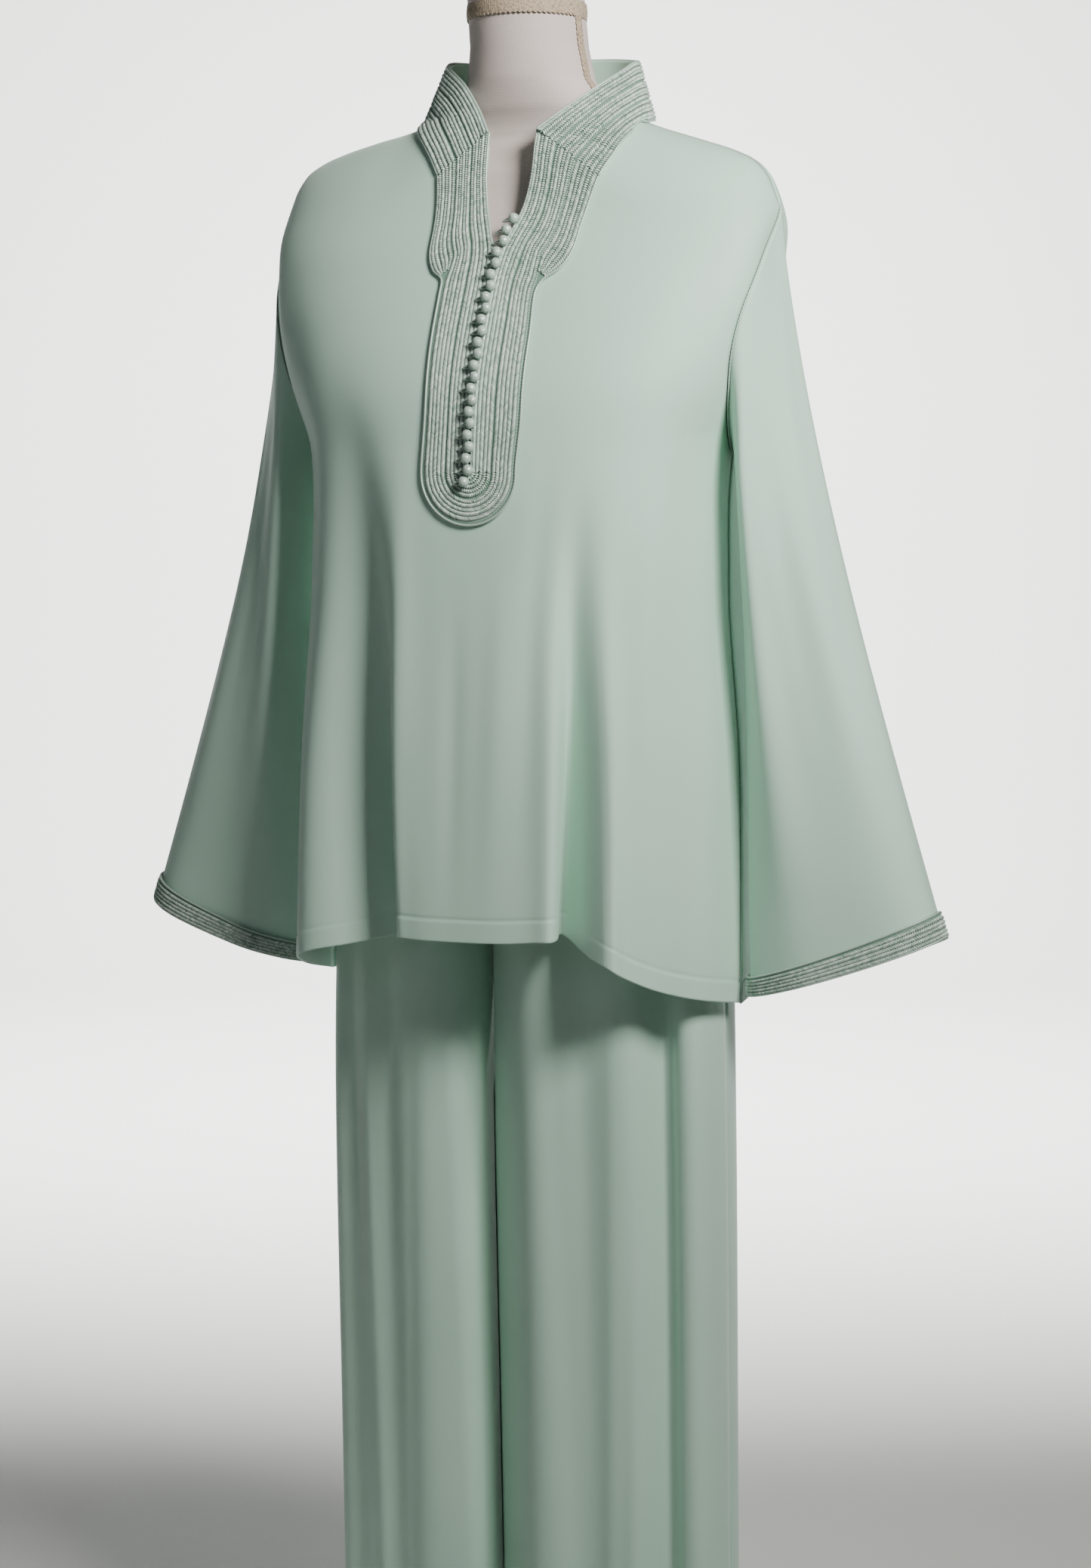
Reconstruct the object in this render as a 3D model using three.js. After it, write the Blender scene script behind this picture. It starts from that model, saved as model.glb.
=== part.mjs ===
// A jabador: a mint tunic with flared sleeves and straight trousers, on a limbless dress form on a pole.
// Millimetres, +Z up, front faces -Y, the wearer's left is +X. The origin is under the middle of the base.
import * as THREE from 'three';

// Driving sizes
const clothWall = 1.5;
const braidWall = 2.0;
const seamGap = 0.3;
const ribHeight = 0.7;
const armholeTop = 1350;
const underarm = 1150;
const waistTop = 1034;
const waistSeam = 1000;
const crotch = 772;
const formBottom = 850;
const trouserHem = 30;
const cuffWidth = 20;
const slitShift = 9.5; // the slit and its band hang this far to the wearer's left
const shoulderShift = -4.5; // the shoulders have slipped this far to the wearer's right
// Height over which the body turns over into the shoulder line
const shoulderRound = { front: 70, back: 45 };
const shoulderHalf = 226; // half the width across the shoulders between the armholes
const sleeveStart = 2.2; // the sleeve's first ring stands off the armhole by this much
const backGap = 2.3; // the back panels stand behind the front ones by this much at their seams
const cuffStart = 0.965; // where the cuff begins along the sleeve

// Proportions of the flattened oval that every body section is scaled from
const oval = { width: 200, depth: 125, power: 2.7 };

const rad = THREE.MathUtils.degToRad;
const mix = THREE.MathUtils.lerp;
const clamp = THREE.MathUtils.clamp;
const ease = (t) => THREE.MathUtils.smoothstep(t, 0, 1);
const hump = (t) => Math.exp(-t * t);

// A smooth curve through one column of a table whose rows ascend in the column named along.
function read(table, along, column, at) {
  const last = table.length - 1;
  const slope = (i) => (table[i + 1][column] - table[i][column]) / (table[i + 1][along] - table[i][along]);
  const tangent = (i) => {
    if (i === 0) return slope(0);
    if (i === last) return slope(last - 1);
    return slope(i - 1) * slope(i) > 0 ? (slope(i - 1) + slope(i)) / 2 : 0;
  };
  const x = clamp(at, table[0][along], table[last][along]);
  let i = 0;
  while (i < last - 1 && x > table[i + 1][along]) i += 1;
  const step = table[i + 1][along] - table[i][along];
  const t = (x - table[i][along]) / step;
  const between = mix(table[i][column], table[i + 1][column], 3 * t ** 2 - 2 * t ** 3);
  const leaving = (t ** 3 - 2 * t ** 2 + t) * step * tangent(i);
  const arriving = (t ** 3 - t ** 2) * step * tangent(i + 1);
  return between + leaving + arriving;
}

// Tunic body: half width and depths of its section by height, and how far back its middle lies
const tunicRows = [
  { z: 690, half: 193, front: 138, back: 120, middle: 0 },
  { z: 900, half: 191, front: 136, back: 118, middle: 0 },
  { z: 1050, half: 181, front: 134, back: 112, middle: 0 },
  { z: 1150, half: 184, front: 131, back: 104, middle: 0 },
  { z: 1205, half: 198, front: 125, back: 99, middle: 0 },
  { z: 1265, half: 212, front: 105, back: 91, middle: 1 },
  { z: 1310, half: 220, front: 86, back: 81, middle: 3 },
  { z: 1350, half: 226, front: 70, back: 72, middle: 6 },
  { z: 1390, half: 226, front: 64, back: 64, middle: 9 },
  { z: 1420, half: 226, front: 60, back: 61, middle: 10 },
  { z: 1445, half: 226, front: 58, back: 60, middle: 10 },
];
// Height of the shoulder line by distance to the wearer's left: the left shoulder hangs lower than the right
const shoulderRows = [
  { x: -231, z: 1350 },
  { x: -225, z: 1378 },
  { x: -214, z: 1396 },
  { x: -200, z: 1405 },
  { x: -177, z: 1413 },
  { x: -144, z: 1421 },
  { x: -103, z: 1430 },
  { x: 0, z: 1474 },
  { x: 106, z: 1424 },
  { x: 153, z: 1408 },
  { x: 184, z: 1397 },
  { x: 202, z: 1387 },
  { x: 212, z: 1375 },
  { x: 218, z: 1361 },
  { x: 222, z: 1350 },
];
// Top edges of the panels under the collar up to the shoulder line, by distance to the wearer's left
const frontNeckRows = [
  { x: -91, z: 1434 },
  { x: -84, z: 1424 },
  { x: -74, z: 1414 },
  { x: -60, z: 1403 },
  { x: -12, z: 1404 },
  { x: 31, z: 1404 },
  { x: 80, z: 1396 },
  { x: 90, z: 1404 },
  { x: 96, z: 1415 },
  { x: 99, z: 1427 },
];
const backNeckRows = [
  { x: -91, z: 1434 },
  { x: -60, z: 1443 },
  { x: 4, z: 1446 },
  { x: 66, z: 1438 },
  { x: 99, z: 1427 },
];
// Hem height by position round the panel, -1 at the wearer's right side seam and 1 at the left
const frontHemRows = [
  { u: -1, z: 704 },
  { u: -0.8, z: 718 },
  { u: -0.58, z: 740 },
  { u: -0.42, z: 756 },
  { u: -0.2, z: 753 },
  { u: 0.2, z: 754 },
  { u: 0.43, z: 757 },
  { u: 0.52, z: 736 },
  { u: 0.8, z: 708 },
  { u: 1, z: 696 },
];
const backHemRows = [
  { u: -1, z: 704 },
  { u: -0.5, z: 722 },
  { u: 0, z: 734 },
  { u: 0.5, z: 720 },
  { u: 1, z: 696 },
];
// Folds that fall from the bust and shoulders to the hem. at is the place round the panel at the hem, lean
// how far it has moved at the fold's top, width its spread in the same units, depth the mm out at the hem.
const frontFolds = [
  { at: -0.61, lean: 0.0, width: 0.1, depth: 14, top: 1230, bottom: 700 },
  { at: -0.42, lean: -0.12, width: 0.105, depth: -50, top: 1265, bottom: 700 },
  { at: -0.27, lean: 0.0, width: 0.07, depth: 7, top: 1150, bottom: 700 },
  { at: 0.39, lean: 0.0, width: 0.06, depth: 6, top: 1120, bottom: 700 },
  { at: 0.465, lean: 0.03, width: 0.05, depth: -36, top: 1130, bottom: 700 },
  { at: 0.54, lean: 0.0, width: 0.07, depth: 9, top: 1120, bottom: 700 },
  { at: 0.72, lean: 0.0, width: 0.07, depth: -9, top: 1130, bottom: 700 },
];
const backFolds = [
  { at: -0.62, lean: 0.0, width: 0.1, depth: 9, top: 1200, bottom: 700 },
  { at: -0.42, lean: -0.06, width: 0.1, depth: -24, top: 1230, bottom: 700 },
  { at: -0.12, lean: 0.0, width: 0.09, depth: 6, top: 1150, bottom: 700 },
  { at: 0.08, lean: 0.03, width: 0.08, depth: -20, top: 1180, bottom: 700 },
  { at: 0.3, lean: 0.0, width: 0.09, depth: 8, top: 1150, bottom: 700 },
  { at: 0.5, lean: 0.08, width: 0.1, depth: -26, top: 1220, bottom: 700 },
  { at: 0.7, lean: 0.0, width: 0.08, depth: 8, top: 1150, bottom: 700 },
];
// Soft ridges where the cloth drops straight from the shoulder's corner, beside the armhole
const cornerRidge = { at: 0.84, width: 0.09, out: 8, low: 1165, high: 1370 };

const slitBottom = 1128;
// Half the slit's opening by height
const slitRows = [
  { z: 1128, half: 0 },
  { z: 1136, half: 2 },
  { z: 1295, half: 2 },
  { z: 1315, half: 4 },
  { z: 1333, half: 11 },
  { z: 1353, half: 17.5 },
  { z: 1372, half: 20.5 },
  { z: 1404, half: 21.5 },
];

// How far the body's section lies to the wearer's left at a height.
const shiftAt = (z) => shoulderShift * ease((z - 1150) / 120);

// Share of the oval's half width and depth at an angle from straight ahead.
function ovalAt(angle) {
  const s = Math.abs(Math.sin(angle));
  const c = Math.abs(Math.cos(angle));
  const r = ((s / oval.width) ** oval.power + (c / oval.depth) ** oval.power) ** (-1 / oval.power);
  return { across: (Math.sign(Math.sin(angle)) * s * r) / oval.width, ahead: (c * r) / oval.depth };
}

// Angle at which a body section is cut by the armhole; a right angle above and below it.
function seamAngle(z) {
  const share = clamp((z - underarm) / (armholeTop - underarm), 0, 1);
  return rad(90 - 15 * Math.sin(Math.PI * share) ** 0.8);
}

// How much of its full depth the body has at a place: less and less up to the shoulder line.
function turnIn(face, x, z) {
  const over = face < 0 ? shoulderRound.front : shoulderRound.back;
  const below = clamp((read(shoulderRows, 'x', 'z', x) - z) / over, 0, 1);
  return Math.sqrt(1 - (1 - below) ** 2);
}

// A point of the tunic's body. face is -1 in front and 1 behind, angle is from straight ahead to the left.
function bodyPoint(face, angle, z) {
  const share = ovalAt(angle);
  const wide = read(tunicRows, 'z', 'half', z) * share.across;
  const x = wide + shiftAt(z);
  const depth = read(tunicRows, 'z', face < 0 ? 'front' : 'back', z) * share.ahead;
  const round = turnIn(face, x, z);
  const y = face * depth * round;
  const u = angle / rad(90);
  let out = 0;
  for (const fold of face < 0 ? frontFolds : backFolds) {
    const fall = ease((fold.top - z) / (fold.top - fold.bottom));
    const place = fold.at + fold.lean * (1 - (fold.top - z) / (fold.top - fold.bottom));
    out += fold.depth * fall * hump((u - place) / fold.width);
  }
  const rise = (cornerRidge.high - z) / (cornerRidge.high - cornerRidge.low);
  if (rise > 0 && rise < 1) {
    const near = hump((Math.abs(u) - cornerRidge.at) / cornerRidge.width);
    out += cornerRidge.out * Math.sin(Math.PI * rise) * near * round;
  }
  const reach = Math.hypot(wide, depth) || 1;
  return new THREE.Vector3(
    x + (out * wide) / reach,
    read(tunicRows, 'z', 'middle', z) + y + (out * face * depth * round) / reach,
    z,
  );
}

// The angle that brings the front section to a small distance x from the middle.
function angleAt(x, z) {
  return Math.atan2(((x - shiftAt(z)) * oval.width) / read(tunicRows, 'z', 'half', z), oval.depth);
}

// Makes one closed wall from patches of a surface. Each patch is { columns, rows, at(u, v), wrap, facing },
// where at gives a point, and facing is 1 if u then v turn anticlockwise seen from outside. inner and outer
// are offsets along the surface's outward normal, in mm, and may be functions of u and v.
function wall(patches, outer, inner) {
  const points = [];
  const places = [];
  const known = new Map();
  const faces = [];
  const index = (p, u, v) => {
    const key = `${p.x.toFixed(3)} ${p.y.toFixed(3)} ${p.z.toFixed(3)}`;
    if (!known.has(key)) {
      known.set(key, points.length);
      points.push(p);
      places.push([u, v]);
    }
    return known.get(key);
  };
  for (const patch of patches) {
    const ids = [];
    for (let j = 0; j <= patch.rows; j += 1) {
      const row = [];
      for (let i = 0; i <= patch.columns; i += 1) {
        if (patch.wrap && i === patch.columns) {
          row.push(row[0]);
        } else {
          row.push(index(patch.at(i / patch.columns, j / patch.rows), i / patch.columns, j / patch.rows));
        }
      }
      ids.push(row);
    }
    for (let j = 0; j < patch.rows; j += 1) {
      for (let i = 0; i < patch.columns; i += 1) {
        const [a, b, c, d] = [ids[j][i], ids[j][i + 1], ids[j + 1][i + 1], ids[j + 1][i]];
        const pair = patch.facing > 0 ? [[a, b, c], [a, c, d]] : [[a, c, b], [a, d, c]];
        for (const face of pair) {
          if (new Set(face).size === 3) faces.push(face);
        }
      }
    }
  }
  const normals = points.map(() => new THREE.Vector3());
  for (const [a, b, c] of faces) {
    const across = new THREE.Vector3().subVectors(points[b], points[a]);
    const n = across.cross(new THREE.Vector3().subVectors(points[c], points[a]));
    for (const k of [a, b, c]) normals[k].add(n);
  }
  normals.forEach((n) => n.normalize());
  const offset = (by, k) => (typeof by === 'function' ? by(...places[k]) : by);
  const moved = (by) => points.map((p, k) => p.clone().addScaledVector(normals[k], offset(by, k)));
  const all = [...moved(outer), ...moved(inner)];
  const count = points.length;
  const triangles = [];
  const edges = new Map();
  for (const [a, b, c] of faces) {
    triangles.push(a, b, c, a + count, c + count, b + count);
    for (const [p, q] of [[a, b], [b, c], [c, a]]) {
      if (edges.has(`${q} ${p}`)) edges.delete(`${q} ${p}`);
      else edges.set(`${p} ${q}`, [p, q]);
    }
  }
  for (const [p, q] of edges.values()) {
    triangles.push(q, p, p + count, q, p + count, q + count);
  }
  const geometry = new THREE.BufferGeometry();
  geometry.setAttribute('position', new THREE.Float32BufferAttribute(all.flatMap((p) => p.toArray()), 3));
  geometry.setIndex(triangles);
  return geometry;
}

const slitRowCount = 10;
const hemRowCount = 13;

// Height of a panel's top edge at x to the wearer's left: round the neck inside, along the shoulder outside.
function topEdge(neckRows, x) {
  const inside = x > neckRows[0].x && x < neckRows[neckRows.length - 1].x;
  return inside ? read(neckRows, 'x', 'z', x) : read(shoulderRows, 'x', 'z', x);
}

// One half of the front panel. side is 1 on the wearer's left. u runs from the slit to the side seam.
function frontHalf(side) {
  const topShare = slitRowCount / (slitRowCount + hemRowCount);
  const slitTop = frontNeckRows[0].z;
  const slitEnd = (z) => slitShift + side * (z > slitBottom ? read(slitRows, 'z', 'half', z) : 0);
  const at = (u, v) => {
    const down = clamp(v / topShare, 0, 1) ** 1.25;
    const below = clamp((v - topShare) / (1 - topShare), 0, 1);
    const innerZ = v < topShare ? mix(slitTop, slitBottom, down) : mix(slitBottom, frontHemRows[4].z, below);
    const start = angleAt(slitEnd(innerZ), innerZ);
    const topAngle = mix(angleAt(slitEnd(slitTop), slitTop), side * rad(90), u);
    const top = topEdge(frontNeckRows, shoulderHalf * ovalAt(topAngle).across + shoulderShift);
    const hemAngle = mix(angleAt(slitShift, 700), side * rad(90), u);
    const hem = read(frontHemRows, 'u', 'z', hemAngle / rad(90));
    const joint = mix(slitBottom, underarm, ease(u * 1.5));
    const z = v < topShare ? mix(top, joint, down) : mix(joint, hem, below);
    return bodyPoint(-1, mix(start, side * seamAngle(z), u), z);
  };
  return { columns: 15, rows: slitRowCount + hemRowCount, at, wrap: false, facing: -side };
}

// The back panel in one piece. u runs from the wearer's right side seam to the left.
function backPanel() {
  const topShare = 8 / 20;
  const at = (u, v) => {
    const side = 2 * u - 1;
    const top = topEdge(backNeckRows, shoulderHalf * ovalAt(side * rad(90)).across + shoulderShift);
    const hem = read(backHemRows, 'u', 'z', side);
    const down = clamp(v / topShare, 0, 1) ** 1.4;
    const below = clamp((v - topShare) / (1 - topShare), 0, 1);
    const z = v < topShare ? mix(top, underarm, down) : mix(underarm, hem, below);
    const p = bodyPoint(1, side * seamAngle(z), z);
    p.y += backGap;
    return p;
  };
  return { columns: 28, rows: 20, at, wrap: false, facing: 1 };
}

// A point on an armhole's edge, t from its top round the front to the underarm and up the back. x is from
// the middle outwards on both sides.
function armholePoint(side, t) {
  const z = (armholeTop + underarm) / 2 + ((armholeTop - underarm) / 2) * Math.cos(2 * Math.PI * t);
  const front = bodyPoint(-1, side * seamAngle(z), z);
  const back = bodyPoint(1, side * seamAngle(z), z);
  const p = front.lerp(back, ease((Math.sin(2 * Math.PI * (t - 0.5)) + 0.25) / 0.5));
  p.x *= side;
  return p;
}

// Sleeve ends: their outer and inner corners, and how far the outer edge hangs inside the straight line
const sleeveEnds = {
  left: { outX: 367, outZ: 761, inX: 203, inZ: 706, sag: 15 },
  right: { outX: 372, outZ: 760, inX: 206, inZ: 711, sag: 20 },
};
const endDepth = 36; // half the depth of a sleeve at its end
const sleeveMiddle = 4; // the middle of that depth lies this far behind the origin
const sleeveClear = 13; // how far the sleeve stands off the side seam under the arm
// Folds along a sleeve: at is the place round it, from the outer edge round the front
const sleeveFolds = [
  { at: 0.12, width: 0.05, depth: 4 },
  { at: 0.22, width: 0.05, depth: -4 },
  { at: 0.31, width: 0.045, depth: 9 },
  { at: 0.66, width: 0.05, depth: 7 },
  { at: 0.77, width: 0.05, depth: -6 },
  { at: 0.88, width: 0.05, depth: 5 },
];

// A point of a sleeve, t round it as at the armhole and v from the armhole to the end.
function sleevePoint(side, t, v) {
  const c = Math.cos(2 * Math.PI * t);
  const s = Math.sin(2 * Math.PI * t);
  const outside = (1 + c) / 2;
  const { outX, outZ, inX, inZ, sag } = side > 0 ? sleeveEnds.left : sleeveEnds.right;
  const end = new THREE.Vector3(
    mix(inX, outX, outside),
    sleeveMiddle - endDepth * Math.sign(s) * Math.abs(s) ** 0.8,
    mix(inZ, outZ, outside) - 6 * Math.abs(s),
  );
  const p = armholePoint(side, t).lerp(end, v);
  p.x -= sag * outside * Math.sin(Math.PI * v ** 0.75);
  p.x += sleeveClear * (1 - outside) * Math.sin(Math.PI * v ** 0.45) + sleeveStart * (1 - v);
  const swell = Math.sin(Math.PI * Math.min(1, v * 1.15));
  let out = 0;
  for (const fold of sleeveFolds) {
    out += fold.depth * hump((t - fold.at) / fold.width) * (0.25 + 0.75 * swell) * ease(v * 6);
  }
  p.y -= Math.sign(s) * out;
  p.x *= side;
  return p;
}

const ringColumns = 24;
const sleeveRowCount = 13;

function sleeve(side) {
  const at = (t, v) => {
    const lastRow = 1 - 1 / sleeveRowCount;
    return sleevePoint(side, t, v > lastRow + 1e-6 ? 1 : (v / lastRow) * cuffStart);
  };
  return { columns: ringColumns, rows: sleeveRowCount, at, wrap: true, facing: side };
}

function cuff(side) {
  const at = (t, v) => sleevePoint(side, t, mix(cuffStart, 1, v));
  return { columns: ringColumns, rows: 3, at, wrap: true, facing: side };
}

// Braided band down the front, from the corner of the V at the collar down to the round end: its inner edge,
// and its outer edge on the wearer's left and right, as distances from the slit's middle and heights
const placketRows = [
  { s: 0, inX: 21.5, inZ: 1415, leftX: 79, leftZ: 1374, rightX: 66, rightZ: 1382 },
  { s: 1, inX: 21.5, inZ: 1393, leftX: 74, leftZ: 1355, rightX: 64, rightZ: 1362 },
  { s: 2, inX: 20, inZ: 1370, leftX: 70, leftZ: 1333, rightX: 62.5, rightZ: 1337 },
  { s: 2.7, inX: 16, inZ: 1349, leftX: 67, leftZ: 1312, rightX: 61, rightZ: 1314 },
  { s: 3.3, inX: 9.5, inZ: 1330, leftX: 59, leftZ: 1298, rightX: 54.5, rightZ: 1300 },
  { s: 3.8, inX: 4, inZ: 1315, leftX: 46, leftZ: 1288, rightX: 45, rightZ: 1292 },
  { s: 4.2, inX: 2.2, inZ: 1296, leftX: 42, leftZ: 1276, rightX: 44, rightZ: 1280 },
  { s: 5, inX: 1.9, inZ: 1250, leftX: 44, leftZ: 1240, rightX: 43.5, rightZ: 1244 },
  { s: 6, inX: 1.9, inZ: 1190, leftX: 44, leftZ: 1186, rightX: 41.5, rightZ: 1186 },
  { s: 7, inX: 1.9, inZ: 1134, leftX: 40, leftZ: 1134, rightX: 44, rightZ: 1134 },
];
const roundEnd = 7;

// Stand collar: its top and base edges from the corner of the V to the middle of the back, on the wearer's
// left and right. The corner of the neckline that slipped to the left hangs lower.
const collarLeft = [
  { s: 0, topX: 31, topZ: 1415, topY: -52, baseX: 88.5, baseZ: 1374, baseY: -46 },
  { s: 1, topX: 49, topZ: 1430, topY: -41, baseX: 97, baseZ: 1393, baseY: -44 },
  { s: 2, topX: 71, topZ: 1449, topY: -24, baseX: 102, baseZ: 1408, baseY: -31 },
  { s: 3, topX: 84, topZ: 1464, topY: -4, baseX: 103.5, baseZ: 1419, baseY: -10 },
  { s: 4, topX: 86, topZ: 1474, topY: 16, baseX: 103, baseZ: 1426, baseY: 14 },
  { s: 5, topX: 77, topZ: 1480, topY: 44, baseX: 90, baseZ: 1431, baseY: 46 },
  { s: 6, topX: 48, topZ: 1486, topY: 62, baseX: 53, baseZ: 1436, baseY: 66 },
  { s: 7, topX: 4, topZ: 1489, topY: 68, baseX: 4, baseZ: 1440, baseY: 72 },
];
const collarRight = [
  { s: 0, topX: -12, topZ: 1415, topY: -52, baseX: -56.5, baseZ: 1382, baseY: -50 },
  { s: 1, topX: -26, topZ: 1436, topY: -41, baseX: -66, baseZ: 1397, baseY: -46 },
  { s: 2, topX: -47, topZ: 1459, topY: -24, baseX: -79, baseZ: 1411, baseY: -31 },
  { s: 3, topX: -71, topZ: 1477, topY: -4, baseX: -93.5, baseZ: 1424, baseY: -9.5 },
  { s: 4, topX: -77, topZ: 1484, topY: 16, baseX: -100, baseZ: 1432.5, baseY: 14 },
  { s: 5, topX: -68, topZ: 1487, topY: 44, baseX: -84, baseZ: 1436, baseY: 46 },
  { s: 6, topX: -40, topZ: 1489, topY: 62, baseX: -46, baseZ: 1439, baseY: 66 },
  { s: 7, topX: 4, topZ: 1489, topY: 68, baseX: 4, baseZ: 1440, baseY: 72 },
];
const collarBack = 7;

// How far behind the origin the tunic's body lies at a place, in front or behind.
function trunkY(face, x, z) {
  const share = clamp(Math.abs(x - shiftAt(z)) / read(tunicRows, 'z', 'half', z), 0, 0.999);
  const ahead = (1 - share ** oval.power) ** (1 / oval.power);
  const depth = read(tunicRows, 'z', face < 0 ? 'front' : 'back', z);
  return read(tunicRows, 'z', 'middle', z) + face * depth * ahead * turnIn(face, x, z);
}

// A point of the band: across from its inner to its outer edge, q from -1 at the V's right corner to 1.
function placketPoint(across, q) {
  const side = q < 0 ? -1 : 1;
  const s = (roundEnd + 1) * (1 - Math.abs(q));
  const down = Math.min(s, roundEnd);
  const turn = rad(90) * Math.max(0, s - roundEnd);
  const value = (column) => read(placketRows, 's', column, down);
  const wide = mix(value('inX'), value(side > 0 ? 'leftX' : 'rightX'), across);
  const x = slitShift + side * wide * Math.cos(turn);
  const z = mix(value('inZ'), value(side > 0 ? 'leftZ' : 'rightZ'), across) - wide * Math.sin(turn);
  return new THREE.Vector3(x, trunkY(-1, x, z), z);
}

// A point of the collar: across from its top to its base, q from -1 at the right corner round the back to 1.
function collarPoint(across, q) {
  const s = collarBack * (1 - Math.abs(q));
  const value = (part) => {
    const top = read(q < 0 ? collarRight : collarLeft, 's', `top${part}`, s);
    const base = read(q < 0 ? collarRight : collarLeft, 's', `base${part}`, s);
    return mix(top, base, across);
  };
  const [x, y, z] = [value('X'), value('Y'), value('Z')];
  // The base lies on the chest in front and on the back panel behind.
  const chest = mix(trunkY(-1, x, z) - 0.4, 60, ease((s - 3.5) / 0.5));
  const nape = mix(-60, trunkY(1, x, z) + backGap + 0.4, ease((s - 4.2) / 0.6));
  return new THREE.Vector3(x, s < 4 ? Math.min(y, chest) : Math.max(y, nape), z);
}

// Height of the braid across a band: raised groups of rows between grooves at the given shares of its width.
function ribs(grooves, across) {
  let k = 1;
  while (k < grooves.length - 1 && across > grooves[k]) k += 1;
  const t = (across - grooves[k - 1]) / (grooves[k] - grooves[k - 1]);
  return ribHeight * Math.sin(Math.PI * clamp(t, 0, 1)) ** 0.5;
}

const collarGrooves = [0, 0.32, 0.63, 1];
const bandColumns = 10;
const groupEnds = [0, 0.4, 0.7, 1]; // shares of the columns at which the groups of rows end

// Grooves of the front band at a place along it: the outer group runs out at the notch, its cord goes on.
function placketGrooves(q) {
  const s = (roundEnd + 1) * (1 - Math.abs(q));
  const low = ease((s - 3.2) / 0.8);
  return [0, mix(0.32, 0.46, low), mix(0.63, 0.93, low), 1];
}

// Share of the width at a column, so that the grooves fall on columns.
function acrossAt(u, grooves) {
  let k = 1;
  while (k < 3 && u > groupEnds[k] + 1e-9) k += 1;
  return mix(grooves[k - 1], grooves[k], (u - groupEnds[k - 1]) / (groupEnds[k] - groupEnds[k - 1]));
}

function placket() {
  const at = (u, v) => placketPoint(acrossAt(u, placketGrooves(2 * v - 1)), 2 * v - 1);
  return { columns: bandColumns, rows: 36, at, wrap: false, facing: 1 };
}

function collar() {
  const reach = 0.988; // the collar's ends stop just short of the band
  const at = (u, v) => collarPoint(acrossAt(u, collarGrooves), reach * (2 * v - 1));
  return { columns: bandColumns, rows: 28, at, wrap: false, facing: -1 };
}

// Trousers: how far out the legs reach and their depths by height, and where the line between them lies
const trouserRows = [
  { z: 30, left: 189, right: 176, front: 62, back: 66, split: -18 },
  { z: 300, left: 186, right: 180, front: 64, back: 68, split: -23 },
  { z: 600, left: 182, right: 184, front: 68, back: 72, split: -29 },
  { z: 772, left: 177, right: 179, front: 72, back: 76, split: -30 },
  { z: 850, left: 170, right: 170, front: 83, back: 86, split: -20 },
  { z: 920, left: 156, right: 156, front: 86, back: 90, split: -8 },
  { z: 1000, left: 122, right: 122, front: 88, back: 84, split: 0 },
  { z: 1034, left: 121, right: 121, front: 88, back: 83, split: 0 },
];
const legGap = 1.4; // from each leg to the line between them
// Long folds of a trouser leg: at is the place across the panel, 0 at the inner seam and 1 at the outer
const legFolds = [
  { at: 0.3, width: 0.1, depth: 3 },
  { at: 0.52, width: 0.08, depth: -4 },
  { at: 0.79, width: 0.06, depth: -8 },
];

// A point of a trouser leg. side is 1 on the wearer's left, face -1 in front, u from the inner seam out.
function legPoint(side, face, u, z) {
  const value = (column) => read(trouserRows, 'z', column, z);
  const split = value('split') + side * (z > crotch ? 0.6 : legGap);
  const edge = side * value(side > 0 ? 'left' : 'right');
  const reach = Math.abs(edge - split);
  const open = ease((850 - z) / (850 - crotch)) * 0.999;
  const first = ovalAt(rad(-90) * open).across;
  const half = reach / (1 - first);
  const share = ovalAt(rad(mix(-90 * open, 90, u)));
  const x = edge - side * half * (1 - share.across);
  let out = 0;
  for (const fold of legFolds) {
    out += fold.depth * hump((u - fold.at) / fold.width) * ease((900 - z) / 300);
  }
  const depth = value(face < 0 ? 'front' : 'back') + out;
  return new THREE.Vector3(x, face * depth * share.ahead + (face > 0 ? 1.4 : 0), z);
}

function leg(side, face) {
  const rows = 12;
  const at = (u, v) => {
    const heights = [waistSeam - 0.4, 950, 900, 860, 835, 810, 790, crotch, 690, 550, 380, 200, trouserHem];
    return legPoint(side, face, u, heights[Math.round(v * rows)]);
  };
  return { columns: 10, rows, at, wrap: false, facing: side * face };
}

// The waistband's surface, t round it from the wearer's left over the front.
function waistband() {
  const at = (t, v) => {
    const turn = 2 * Math.PI * t;
    const face = Math.sin(turn) > 0 ? -1 : 1;
    const z = mix(waistTop, waistSeam, v);
    const ahead = Math.abs(Math.cos(turn)) < 1e-9;
    const share = ovalAt(ahead ? 0 : rad(90) - Math.abs(Math.asin(Math.sin(turn))));
    const x = Math.sign(Math.cos(turn)) * share.across * read(trouserRows, 'z', 'left', z);
    const y = face * share.ahead * read(trouserRows, 'z', face < 0 ? 'front' : 'back', z);
    return new THREE.Vector3(x, y, z);
  };
  return { columns: 32, rows: 2, at, wrap: true, facing: 1 };
}

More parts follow.
